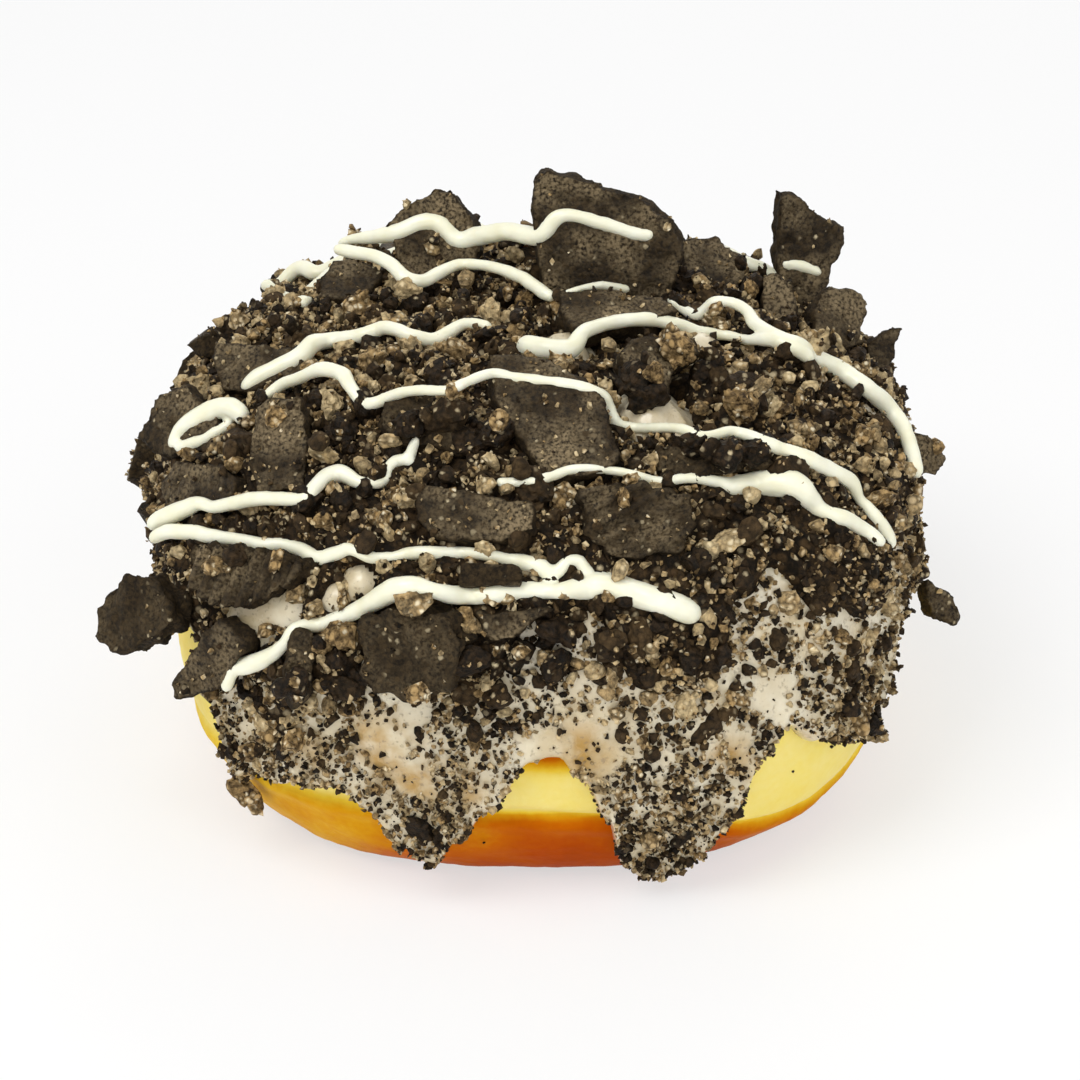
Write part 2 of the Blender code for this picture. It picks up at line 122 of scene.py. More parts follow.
def fallAt(height):
    share = np.clip((height - body["waistHeight"]) / body["domeHeight"], 0.0, 1.0)
    above = np.arccos(share ** (body["domeRoundness"] / 2)) / (math.pi / 2)
    drop = np.clip((body["waistHeight"] - height) / body["waistHeight"], 0.0, 1.0)
    return np.where(height >= body["waistHeight"], above, 1.0 + np.arcsin(drop) / (math.pi / 2))


def planFactor(angle):
    power = body["planRoundness"]
    reach = (np.abs(np.cos(angle)) ** power + np.abs(np.sin(angle)) ** power) ** (-1 / power)
    return reach / ((1 + 2 ** (0.5 - 1 / power)) / 2)


def bodyPoints(fall, angle, offset=0.0):
    radius, height = outline(fall)
    across, up = outward(fall)
    reach = (radius + across * offset * (fall > 0)) * planFactor(angle)
    return np.stack([reach * np.cos(angle), reach * np.sin(angle), height + up * offset], axis=-1)


def bodyNormals(fall, angle):
    across, up = outward(fall)
    return np.stack([across * np.cos(angle), across * np.sin(angle), up], axis=-1)


def edgeHeights(edge, angle):
    azimuths = np.array([row[0] for row in edge] + [edge[0][0] + 360.0])
    heights = np.array([row[1] for row in edge] + [edge[0][1]])
    azimuth = (np.degrees(angle) - azimuths[0]) % 360 + azimuths[0]
    place = np.clip(np.searchsorted(azimuths, azimuth, side="right") - 1, 0, len(edge) - 1)
    share = (azimuth - azimuths[place]) / (azimuths[place + 1] - azimuths[place])
    blend = share * share * (3 - 2 * share)
    return heights[place] + (heights[place + 1] - heights[place]) * blend


def ripple(points, size, seed=0.0):
    # smooth noise from about -1 to 1, with features of the given size
    shift = Vector((seed * 7.31, seed * 3.17, seed * 5.77))
    return np.array([noise.noise(Vector(p) + shift) for p in points / size])


def pebbles(points, size, seed=0.0):
    # 1 in the middle of each pebble and near 0 between them
    shift = Vector((seed * 7.31, seed * 3.17, seed * 5.77))
    near = np.array([noise.voronoi(Vector(p) + shift)[0][0] for p in points / size])
    return 1.0 - np.clip(near * 1.3, 0.0, 1.0)


def eased(value, low, high):
    share = np.clip((value - low) / (high - low), 0.0, 1.0)
    return share * share * (3 - 2 * share)


def bareness(points):
    # 1 where the icing shows, 0 in the heap, and the swell of the icing there
    bare = np.zeros(len(points))
    swell = np.zeros(len(points))
    wobble = 1.0 + 0.45 * ripple(points, 2.6, 4.0) + 0.2 * ripple(points, 1.1, 5.0)
    for place, radius, rise in bareSpots:
        away = np.linalg.norm(points - np.array(place), axis=1) / (radius * wobble)
        inside = 1.0 - eased(away, 0.7, 1.1)
        bare = np.maximum(bare, inside)
        swell = np.maximum(swell, rise * (1.0 - eased(away, 0.2, 1.5)))
    return bare, swell


def spunBlank(profile, sectors):
    # spins (across, up) points into a closed blank whose points are then moved into place
    shape = bmesh.new()
    points = [shape.verts.new((across, 0.0, up)) for across, up in profile]
    edges = [shape.edges.new(pair) for pair in zip(points, points[1:])]
    bmesh.ops.spin(shape, geom=points + edges, cent=(0, 0, 0), axis=(0, 0, 1), dvec=(0, 0, 0),
                   angle=math.tau, steps=sectors, use_merge=True, use_duplicate=False)
    bmesh.ops.remove_doubles(shape, verts=shape.verts, dist=0.0005)
    bmesh.ops.recalc_face_normals(shape, faces=shape.faces)
    mesh = bpy.data.meshes.new("blank")
    shape.to_mesh(mesh)
    shape.free()
    return mesh


def coatProfile(total, inner):
    # an outer side at height 1, its rim at 0.5 and an inner side at 0
    outer = [(float(ring), 1.0) for ring in range(total)]
    return outer + [(float(total), 0.5)] + [(float(total) * share, 0.0) for share in inner]


def readPoints(mesh):
    points = np.zeros(len(mesh.vertices) * 3)
    mesh.vertices.foreach_get("co", points)
    return points.reshape(-1, 3)


def writePoints(mesh, points):
    mesh.vertices.foreach_set("co", np.asarray(points, np.float32).ravel())
    mesh.update()


def readNormals(mesh):
    normals = np.zeros(len(mesh.vertices) * 3, np.float32)
    mesh.vertex_normals.foreach_get("vector", normals)
    return normals.reshape(-1, 3).astype(float)


def readTriangles(mesh):
    mesh.calc_loop_triangles()
    corners = np.zeros(len(mesh.loop_triangles) * 3, np.int32)
    mesh.loop_triangles.foreach_get("vertices", corners)
    return corners.reshape(-1, 3)


def paintPoints(mesh, name, values):
    layer = mesh.attributes.new(name, "FLOAT", "POINT")
    layer.data.foreach_set("value", np.asarray(values, np.float32))


def turnOut(mesh):
    # faces point outwards
    shape = bmesh.new()
    shape.from_mesh(mesh)
    bmesh.ops.recalc_face_normals(shape, faces=shape.faces)
    shape.to_mesh(mesh)
    shape.free()


def addObject(name, data):
    thing = bpy.data.objects.new(name, data)
    bpy.context.scene.collection.objects.link(thing)
    return thing


def addPiece(name, mesh, material, stands=(), smooth=True):
    mesh.name = name
    piece = addObject(name, mesh)
    mesh.materials.clear()
    mesh.materials.append(material)
    if smooth:
        mesh.shade_smooth()
    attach(piece, "root")
    if stands:
        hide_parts(*stands)
    return piece


def appliedMesh(thing):
    bpy.context.view_layer.update()
    graph = bpy.context.evaluated_depsgraph_get()
    mesh = bpy.data.meshes.new_from_object(thing.evaluated_get(graph))
    bpy.data.objects.remove(thing, do_unlink=True)
    return mesh


def remeshed(name, mesh, voxel):
    blank = addObject(name, mesh)
    remesh = blank.modifiers.new("Remesh", "REMESH")
    remesh.mode = "VOXEL"
    remesh.voxel_size = voxel * mm
    return appliedMesh(blank)


def paint(red, green, blue):
    # a colour written as screen values from 0 to 255
    linear = []
    for value in (red, green, blue):
        share = value / 255
        linear.append(share / 12.92 if share <= 0.04045 else ((share + 0.055) / 1.055) ** 2.4)
    return (*linear, 1.0)


def addNode(tree, kind, inputs=None, **settings):
    node = tree.nodes.new(kind)
    for key, value in settings.items():
        setattr(node, key, value)
    for key, value in (inputs or {}).items():
        if isinstance(value, bpy.types.NodeSocket):
            tree.links.new(value, node.inputs[key])
        else:
            node.inputs[key].default_value = value
    return node


def mixColours(tree, factor, first, second):
    inputs = {0: factor, 6: first, 7: second}
    return addNode(tree, "ShaderNodeMix", inputs, data_type="RGBA").outputs[2]


def mathNode(tree, operation, first, second=0.0, clamp=False):
    inputs = {0: first, 1: second}
    return addNode(tree, "ShaderNodeMath", inputs, operation=operation, use_clamp=clamp).outputs[0]


def spread(tree, value, low, high, toLow=0.0, toHigh=1.0):
    inputs = {0: value, 1: low, 2: high, 3: toLow, 4: toHigh}
    return addNode(tree, "ShaderNodeMapRange", inputs, clamp=True).outputs[0]


def ramp(tree, value, stops):
    node = addNode(tree, "ShaderNodeValToRGB", {0: value})
    elements = node.color_ramp.elements
    elements[0].position = stops[0][0]
    elements[0].color = stops[0][1]
    elements[1].position = stops[-1][0]
    elements[1].color = stops[-1][1]
    for position, colour in stops[1:-1]:
        elements.new(position).color = colour
    return node.outputs[0]


def newGroup(name, inputs, outputs):
    group = bpy.data.node_groups.new(name, "ShaderNodeTree")
    for label, kind, value in inputs:
        socket = group.interface.new_socket(name=label, in_out="INPUT", socket_type=kind)
        if value is not None:
            socket.default_value = value
    for label, kind in outputs:
        group.interface.new_socket(name=label, in_out="OUTPUT", socket_type=kind)
    return group, group.nodes.new("NodeGroupInput"), group.nodes.new("NodeGroupOutput")


grainBend = 0.00035     # metres that noise pushes the granules out of round


def makeBiscuitGrain():
    # dark biscuit: fused granules, some of them cream or rusty, over brown mottling, with painted shade
    # darkening the gaps between granules
    group, given, result = newGroup(
        "biscuitGrain",
        [("Vector", "NodeSocketVector", None), ("Granule Scale", "NodeSocketFloat", 1300.0),
         ("Dark", "NodeSocketColor", None), ("Brown", "NodeSocketColor", None),
         ("Cream", "NodeSocketColor", None), ("Cream Share", "NodeSocketFloat", 0.3),
         ("Gap Depth And Shade", "NodeSocketFloat", 0.7)],
        [("Color", "NodeSocketColor"), ("Height", "NodeSocketFloat"), ("Cream Mask", "NodeSocketFloat")])
    scale = given.outputs["Granule Scale"]
    bend = addNode(group, "ShaderNodeTexNoise",
                   {"Vector": given.outputs["Vector"], "Scale": scale, "Detail": 2.0})
    push = addNode(group, "ShaderNodeVectorMath", {0: bend.outputs["Color"], 1: (grainBend,) * 3},
                   operation="MULTIPLY")
    vector = addNode(group, "ShaderNodeVectorMath", {0: given.outputs["Vector"], 1: push.outputs[0]},
                     operation="ADD").outputs[0]
    fineScale = mathNode(group, "MULTIPLY", scale, 1.6)
    fine = addNode(group, "ShaderNodeTexNoise",
                   {"Vector": vector, "Scale": fineScale, "Detail": 4.0, "Roughness": 0.7})
    broadScale = mathNode(group, "MULTIPLY", scale, 0.17)
    broad = addNode(group, "ShaderNodeTexNoise",
                    {"Vector": vector, "Scale": broadScale, "Detail": 3.0, "Roughness": 0.55})
    grains = addNode(group, "ShaderNodeTexVoronoi", {"Vector": vector, "Scale": scale})
    parts = addNode(group, "ShaderNodeSeparateColor", {0: grains.outputs["Color"]})
    mixed = mathNode(group, "ADD", fine.outputs[0], mathNode(group, "MULTIPLY", parts.outputs[1], 0.25))
    colour = mixColours(group, spread(group, mixed, 0.45, 0.85), given.outputs["Dark"],
                        given.outputs["Brown"])
    share = mathNode(group, "MULTIPLY", given.outputs["Cream Share"],
                     spread(group, broad.outputs[0], 0.38, 0.66, 0.0, 1.6))
    limit = mathNode(group, "SUBTRACT", 1.0, share)
    over = mathNode(group, "SUBTRACT", parts.outputs[0], limit)
    chosen = spread(group, over, 0.0, 0.05)
    size = mathNode(group, "ADD", grains.outputs["Distance"],
                    mathNode(group, "MULTIPLY", parts.outputs[2], 0.35))
    worn = mathNode(group, "ADD", size, mathNode(group, "MULTIPLY", fine.outputs[0], 0.6))
    solid = spread(group, worn, 1.02, 0.7)
    mask = mathNode(group, "MULTIPLY", chosen, solid, clamp=True)
    cream = mixColours(group, spread(group, parts.outputs[2], 0.15, 0.75), given.outputs["Brown"],
                       given.outputs["Cream"])
    colour = mixColours(group, mask, colour, cream)
    # painted shade: the gaps between granules are darkened towards the dark colour; the gap depth input
    # sets this shade as well as the bump's depth
    gapShade = mathNode(group, "MULTIPLY", spread(group, grains.outputs["Distance"], 0.45, 0.8),
                   given.outputs["Gap Depth And Shade"])
    colour = mixColours(group, gapShade, colour, given.outputs["Dark"])
    height = mathNode(group, "SUBTRACT", mathNode(group, "MULTIPLY", fine.outputs[0], 0.7),
                      mathNode(group, "MULTIPLY", grains.outputs["Distance"], given.outputs["Gap Depth And Shade"]))
    group.links.new(colour, result.inputs["Color"])
    group.links.new(height, result.inputs["Height"])
    group.links.new(mask, result.inputs["Cream Mask"])
    return group


def makeSugarMottle():
    # icing and drizzle: slow change between two colours, with a faint skin relief
    group, given, result = newGroup(
        "sugarMottle",
        [("Vector", "NodeSocketVector", None), ("Scale", "NodeSocketFloat", 150.0),
         ("Light", "NodeSocketColor", None), ("Deep", "NodeSocketColor", None)],
        [("Color", "NodeSocketColor"), ("Height", "NodeSocketFloat")])
    slow = addNode(group, "ShaderNodeTexNoise",
                   {"Vector": given.outputs["Vector"], "Scale": given.outputs["Scale"],
                    "Detail": 4.0, "Roughness": 0.55})
    colour = mixColours(group, spread(group, slow.outputs[0], 0.35, 0.65),
                        given.outputs["Deep"], given.outputs["Light"])
    group.links.new(colour, result.inputs["Color"])
    group.links.new(slow.outputs[0], result.inputs["Height"])
    return group


biscuitGrain = makeBiscuitGrain()
sugarMottle = makeSugarMottle()


shaderLabels = {
    "subsurface": "Subsurface Weight", "radius": "Subsurface Radius", "scale": "Subsurface Scale",
    "coat": "Coat Weight", "coatRoughness": "Coat Roughness", "specular": "Specular IOR Level",
}


def newMaterial(name, **constants):
    material = bpy.data.materials.new(name)
    material.use_nodes = True
    tree = material.node_tree
    shader = tree.nodes["Principled BSDF"]
    for key, value in constants.items():
        shader.inputs[shaderLabels[key]].default_value = value
    where = addNode(tree, "ShaderNodeTexCoord").outputs["Object"]
    return material, tree, shader, where


def addBump(tree, shader, height, strength, distance):
    bump = addNode(tree, "ShaderNodeBump", {"Height": height, "Strength": strength, "Distance": distance})
    tree.links.new(bump.outputs[0], shader.inputs["Normal"])


def useGroup(tree, group, inputs):
    node = addNode(tree, "ShaderNodeGroup", node_tree=group)
    for key, value in inputs.items():
        if isinstance(value, bpy.types.NodeSocket):
            tree.links.new(value, node.inputs[key])
        else:
            node.inputs[key].default_value = value
    return node


def doughFinish():
    material, tree, shader, where = newMaterial(
        "friedDough", subsurface=0.08, radius=(1.0, 0.5, 0.1), scale=0.0015, specular=0.02)
    toast = addNode(tree, "ShaderNodeAttribute", attribute_name="toast").outputs["Fac"]
    patch = addNode(tree, "ShaderNodeTexNoise", {"Vector": where, "Scale": 170.0, "Detail": 4.0})
    fine = addNode(tree, "ShaderNodeTexNoise", {"Vector": where, "Scale": 1100.0, "Detail": 4.0})
    change = mathNode(tree, "MULTIPLY_ADD", mathNode(tree, "SUBTRACT", patch.outputs[0], 0.5), 0.22)
    tree.links.new(toast, change.node.inputs[2])
    speckle = mathNode(tree, "MULTIPLY_ADD", mathNode(tree, "SUBTRACT", fine.outputs[0], 0.5), 0.10)
    tree.links.new(change, speckle.node.inputs[2])
    colour = ramp(tree, speckle, [
        (0.0, paint(246, 232, 158)), (0.18, paint(243, 222, 118)), (0.36, paint(236, 200, 58)),
        (0.52, paint(216, 154, 16)), (0.68, paint(194, 100, 1)), (0.84, paint(176, 72, 0)),
        (1.0, paint(146, 58, 1))])
    tree.links.new(colour, shader.inputs["Base Color"])
    tree.links.new(spread(tree, speckle, 0.0, 1.0, 0.34, 0.5), shader.inputs["Roughness"])
    height = mathNode(tree, "ADD", fine.outputs[0], mathNode(tree, "MULTIPLY", patch.outputs[0], 2.0))
    addBump(tree, shader, height, 0.35, 0.0002)
    return material


def icingFinish():
    material, tree, shader, where = newMaterial(
        "sugarIcing", subsurface=0.22, radius=(1.0, 0.9, 0.75), scale=0.0012, coat=0.2, coatRoughness=0.08)
    sugar = useGroup(tree, sugarMottle, {"Vector": where, "Scale": 190.0, "Light": paint(226, 216, 190),
                                         "Deep": paint(204, 186, 148)})
    thin = addNode(tree, "ShaderNodeAttribute", attribute_name="thin").outputs["Fac"]
    blotch = addNode(tree, "ShaderNodeTexNoise", {"Vector": where, "Scale": 330.0, "Detail": 3.0})
    amount = mathNode(tree, "MULTIPLY", thin, spread(tree, blotch.outputs[0], 0.3, 0.6), clamp=True)
    colour = mixColours(tree, amount, sugar.outputs["Color"], paint(176, 136, 58))
    dirt = addNode(tree, "ShaderNodeTexNoise", {"Vector": where, "Scale": 1500.0, "Detail": 3.0})
    dirty = spread(tree, dirt.outputs[0], 0.58, 0.68, 0.0, 0.5)
    colour = mixColours(tree, dirty, colour, paint(134, 116, 92))
    tree.links.new(colour, shader.inputs["Base Color"])
    tree.links.new(spread(tree, blotch.outputs[0], 0.3, 0.7, 0.16, 0.34), shader.inputs["Roughness"])
    addBump(tree, shader, mathNode(tree, "ADD", sugar.outputs["Height"],
                                   mathNode(tree, "MULTIPLY", dirt.outputs[0], 0.15)), 0.5, 0.0006)
    return material


def drizzleFinish():
    material, tree, shader, where = newMaterial(
        "paleDrizzle", subsurface=0.2, radius=(1.0, 0.85, 0.6), scale=0.001, coat=0.1, coatRoughness=0.15)
    sugar = useGroup(tree, sugarMottle, {"Vector": where, "Scale": 260.0, "Light": paint(244, 243, 222),
                                         "Deep": paint(238, 235, 205)})
    tree.links.new(sugar.outputs["Color"], shader.inputs["Base Color"])
    tree.links.new(spread(tree, sugar.outputs["Height"], 0.3, 0.7, 0.3, 0.42), shader.inputs["Roughness"])
    addBump(tree, shader, sugar.outputs["Height"], 0.3, 0.0003)
    return material


def biscuitFinish(name, look, tone=None, face=None):
    # tone is an attribute that lightens whole grains; face one that marks a wafer's flat side
    material, tree, shader, where = newMaterial(name, specular=0.12)
    grain = useGroup(tree, biscuitGrain, {"Vector": where, **look})
    colour = grain.outputs["Color"]
    if tone:
        shade = addNode(tree, "ShaderNodeAttribute", attribute_name="tone").outputs["Fac"]
        # partly real, partly painted shade: a grain's random lighter tone is real, but it is made weaker in
        # the hollows between granules
        toneWithHollowShade = mathNode(tree, "MULTIPLY", spread(tree, shade, 0.35, 1.0, 0.0, 0.8),
                         spread(tree, grain.outputs["Height"], -0.25, 0.25, 0.25, 1.0))
        colour = mixColours(tree, toneWithHollowShade, colour, tone)
        tree.links.new(spread(tree, shade, 0.0, 1.0, 0.5, 0.8), shader.inputs["Roughness"])
    elif face:
        flat = addNode(tree, "ShaderNodeAttribute", attribute_name="face").outputs["Fac"]
        smear = addNode(tree, "ShaderNodeTexNoise", {"Vector": where, "Scale": 170.0, "Detail": 5.0})
        bloom = mathNode(tree, "MULTIPLY", flat, spread(tree, smear.outputs[0], 0.38, 0.66, 0.0, 1.0))
        clear = mathNode(tree, "SUBTRACT", 1.0, grain.outputs["Cream Mask"])
        grit = addNode(tree, "ShaderNodeTexNoise", {"Vector": where, "Scale": 2600.0, "Detail": 3.0})
        amount = mathNode(tree, "MULTIPLY", mathNode(tree, "MULTIPLY", bloom, clear),
                          spread(tree, grit.outputs[0], 0.36, 0.6))
        colour = mixColours(tree, amount, colour, face)
        tree.links.new(spread(tree, flat, 0.0, 1.0, 0.8, 0.5), shader.inputs["Roughness"])
    else:
        dull = spread(tree, grain.outputs["Height"], -0.3, 0.4, 0.8, 0.55)
        tree.links.new(dull, shader.inputs["Roughness"])
    tree.links.new(colour, shader.inputs["Base Color"])
    addBump(tree, shader, grain.outputs["Height"], 0.9, 0.0004)
    return material


# In each biscuit look below, the gap depth also sets how much painted shade darkens the gaps between
# granules.
biscuitDark = paint(17, 12, 6)
biscuitBrown = paint(66, 50, 30)
biscuitCream = paint(224, 206, 166)
friedDough = doughFinish()
sugarIcing = icingFinish()
paleDrizzle = drizzleFinish()
coreBiscuit = biscuitFinish("crumbPaste", {
    "Granule Scale": 1000.0, "Dark": biscuitDark, "Brown": biscuitBrown, "Cream": biscuitCream,
    "Cream Share": 0.46, "Gap Depth And Shade": 0.85})
waferBiscuit = biscuitFinish("brokenWafer", {
    "Granule Scale": 1500.0, "Dark": paint(26, 20, 12), "Brown": paint(66, 53, 34),
    "Cream": paint(206, 190, 154), "Cream Share": 0.09, "Gap Depth And Shade": 0.4}, face=paint(138, 121, 92))
darkBiscuit = biscuitFinish("darkCrumb", {
    "Granule Scale": 1300.0, "Dark": paint(14, 10, 5), "Brown": paint(56, 42, 26), "Cream": biscuitCream,
    "Cream Share": 0.24, "Gap Depth And Shade": 0.7}, tone=paint(88, 70, 46))
tanBiscuit = biscuitFinish("tanCrumb", {
    "Granule Scale": 1300.0, "Dark": paint(44, 31, 16), "Brown": paint(184, 153, 104),
    "Cream": paint(248, 236, 204), "Cream Share": 0.8, "Gap Depth And Shade": 0.6}, tone=paint(228, 206, 160))
print("materials made")


doughSettings = {
    "rings": 120, "sectors": 300,
    "creaseHeight": 12.5, "creaseDepth": 0.8, "creaseWidth": 0.7,
    "creaseSink": 6.3, "sinkAzimuth": -46.0, "sinkWidth": 22.0,
    "creaseWave": 0.5, "lip": 0.35, "lipBelow": 1.6, "lipWidth": 1.2,
    "paleToast": 0.14, "brownToast": 0.49, "frontToast": 0.38, "frontAzimuth": -80, "frontWidth": 34.0,
    # the arch settings place a painted shadow on the dough under the icing's front arch
    "archAzimuth": -88, "archWidth": 9.0, "archShadeUnderIcing": 0.6, "underToast": 0.78,
    "wrinkle": 0.22, "wrinkleSize": 5.0, "dimple": 0.08, "dimpleSize": 1.3,
}


def makeDough(look):
    rings = look["rings"]
    profile = [(float(ring), -float(ring)) for ring in range(rings + 1)]
    for step, share in enumerate((0.85, 0.55, 0.25, 0.0)):
        profile.append((rings * share, -float(rings + 1 + step)))
    mesh = spunBlank(profile, look["sectors"])
    blank = readPoints(mesh)
    angle = np.arctan2(blank[:, 1], blank[:, 0])
    ring = np.round(-blank[:, 2])
    fall = np.clip(ring / rings * 2.0, 0.0, 2.0)
    _, height = outline(fall)
    base = bodyPoints(fall, angle)
    azimuth = np.degrees(angle)
    sink = look["creaseSink"] * np.exp(-((azimuth - look["sinkAzimuth"]) / look["sinkWidth"]) ** 2)
    crease = look["creaseHeight"] - sink
    closeness = (height - crease - look["creaseWave"] * ripple(base, 9.0, 2.0)) / look["creaseWidth"]
    groove = look["creaseDepth"] * np.exp(-closeness * closeness) * (fall > 1.0)
    relief = look["wrinkle"] * ripple(base, look["wrinkleSize"])
    relief += look["dimple"] * ripple(base, look["dimpleSize"])
    belowCrease = (height - crease + look["lipBelow"]) / look["lipWidth"]
    lip = look["lip"] * np.exp(-belowCrease ** 2) * (fall > 1.0)
    points = bodyPoints(fall, angle, relief + lip - groove)
    under = ring > rings
    share = np.hypot(blank[:, 0], blank[:, 1]) / rings
    reach = body["footRadius"] * planFactor(angle) * share
    points[under] = np.stack([reach * np.cos(angle), reach * np.sin(angle), 0.0 * reach], axis=-1)[under]
    points[:, 2] = np.maximum(points[:, 2], 0.0)
    below = eased(crease + 0.35 * ripple(base, 3.0, 6.0) - height, -0.25, 0.35)
    # painted shadow: the dough just below the icing's edge is browned, a little all round and most under
    # the front arch of the icing
    arch = np.exp(-((azimuth - look["archAzimuth"]) / look["archWidth"]) ** 2)
    shadeUnderIcing = eased(height, 17.5, 21.5) * (0.06 + look["archShadeUnderIcing"] * arch)
    pale = look["paleToast"] + 0.10 * ripple(base, 12.0, 3.0) + shadeUnderIcing
    front = np.exp(-((azimuth - look["frontAzimuth"]) / look["frontWidth"]) ** 2)
    brown = look["brownToast"] + look["frontToast"] * front
    brown += 0.08 * ripple(base, 8.0, 5.0) - 0.10 * eased(height, 3.0, 12.0)
    rim = 0.30 * np.exp(-((height - crease) / 0.7) ** 2)
    toast = np.where(fall > 1.0, pale * (1 - below) + brown * below, pale)
    toast = np.clip(toast - rim * below, 0.0, 1.0)
    toast[under] = look["underToast"]
    paintPoints(mesh, "toast", toast)
    writePoints(mesh, points * mm)
    return addPiece("doughBody", mesh, friedDough, ["dough"])


doughBody = makeDough(doughSettings)
print("dough made")


icingSettings = {
    "upperRings": 30, "lowerRings": 40, "rimRings": 7, "innerRings": 8, "sectors": 600,
    "upperFall": 0.82, "thickness": 1.5, "drip": 0.7, "bead": 0.5, "rimRadius": 1.3,
    "wave": 0.7, "fallLength": 30.0, "dripBack": 2.2, "dripWidth": 2.6, "beadBack": 1.6, "beadWidth": 1.3,
}
thinSpots = [((-16.6, -42.6, 22.0), 5.0), ((-12.5, -42.9, 18.0), 4.0), ((-8.0, -43.9, 17.0), 3.5),
             ((4.5, -44.0, 22.5), 4.5), ((-24.0, -38.0, 20.0), 3.5), ((20.0, -41.0, 20.0), 3.0)]


def icingLowest(look, angle):
    # the icing edge with small waves
    circle = np.stack([np.cos(angle) * 40, np.sin(angle) * 40, 0 * angle], axis=-1)
    waves = ripple(circle, 3.2, 1.0) + 0.6 * ripple(circle, 1.5, 2.0)
    return fallAt(edgeHeights(icingEdge, angle) + look["wave"] * waves)


def makeIcing(look):
    outer = look["upperRings"] + look["lowerRings"]
    total = outer + look["rimRings"]
    inner = [step / look["innerRings"] for step in reversed(range(look["innerRings"]))]
    mesh = spunBlank(coatProfile(total, inner), look["sectors"])
    blank = readPoints(mesh)
    ring = np.hypot(blank[:, 0], blank[:, 1])
    angle = np.arctan2(blank[:, 1], blank[:, 0])
    lowest = icingLowest(look, angle)
    tip = eased(edgeHeights(icingEdge, angle), 18.0, 6.0)
    upper = ring / look["upperRings"] * look["upperFall"]
    arc = np.clip((ring - outer) / look["rimRings"], 0.0, 1.0) * math.pi / 2
    rimStart = lowest - look["rimRadius"] / look["fallLength"]
    lower = look["upperFall"] + (rimStart - look["upperFall"]) * np.clip(
        (ring - look["upperRings"]) / look["lowerRings"], 0.0, 1.0)
    rim = rimStart + (lowest - rimStart) * np.sin(arc)
    fall = np.where(ring <= look["upperRings"], upper, np.where(ring <= outer, lower, rim))
    inside = blank[:, 2] < 0.25
    fall = np.where(inside, lowest * ring / total, fall)
    base = bodyPoints(fall, angle)
    _, swell = bareness(base)
    away = np.clip((lowest - fall) * look["fallLength"], 0.0, None)
    hang = np.exp(-((away - look["dripBack"]) / look["dripWidth"]) ** 2)
    rounded = np.exp(-((away - look["beadBack"]) / look["beadWidth"]) ** 2)
    thick = look["thickness"] + look["drip"] * tip * hang + look["bead"] * rounded
    thick += 0.3 * ripple(base, 5.0, 3.0) + 0.12 * ripple(base, 2.0, 3.5)
    thick += swell
    offset = np.where(inside, 0.1, thick * np.cos(arc))
    offset = np.where(blank[:, 2] == 0.5, 0.0, offset)
    paintPoints(mesh, "thin", thinness(base, away))
    writePoints(mesh, bodyPoints(fall, angle, offset) * mm)
    turnOut(mesh)
    return addPiece("icingCoat", mesh, sugarIcing, ["icing"])


def thinness(points, away):
    thin = 0.35 * (1.0 - eased(away, 0.0, 2.0))
    for place, radius in thinSpots:
        near = np.linalg.norm(points - np.array(place), axis=1) / radius
        thin = np.maximum(thin, 1.0 - eased(near, 0.2, 1.2))
    return thin


icingCoat = makeIcing(icingSettings)
print("icing made")


waferSettings = {
    "voxel": 0.42, "count": 42,
    "fracture": 0.6, "fractureSize": 1.9, "crumble": 0.24, "crumbleSize": 0.8,
    "faceGrain": 0.05, "faceWarp": 0.14, "pit": 0.4,
    "grooved": {13: (1.7, 0.8, 0.15), 20: (1.7, 0.6, 1.2), 4: (1.6, 0.12, 0.4), 16: (1.9, 0.07, 0.9),
                10: (1.3, 0.16, 2.0), 35: (1.3, 0.2, 0.5), 41: (1.3, 0.2, 1.1)},
    "crumbly": (14, 21, 25, 26),
    "clod": 0.75, "clodSize": 2.4,
}


def flatDirection(mesh):
    # the direction that most of a slab's surface faces, pointing away from the dough
    areas = np.array([face.area for face in mesh.polygons])
    normals = np.array([face.normal for face in mesh.polygons])
    votes = (np.abs(normals @ normals.T) ** 12) @ areas
    direction = normals[int(np.argmax(votes))]
    centre = readPoints(mesh).mean(axis=0) / mm
    return direction if direction @ (centre - np.array([0, 0, 20.0])) > 0 else -direction


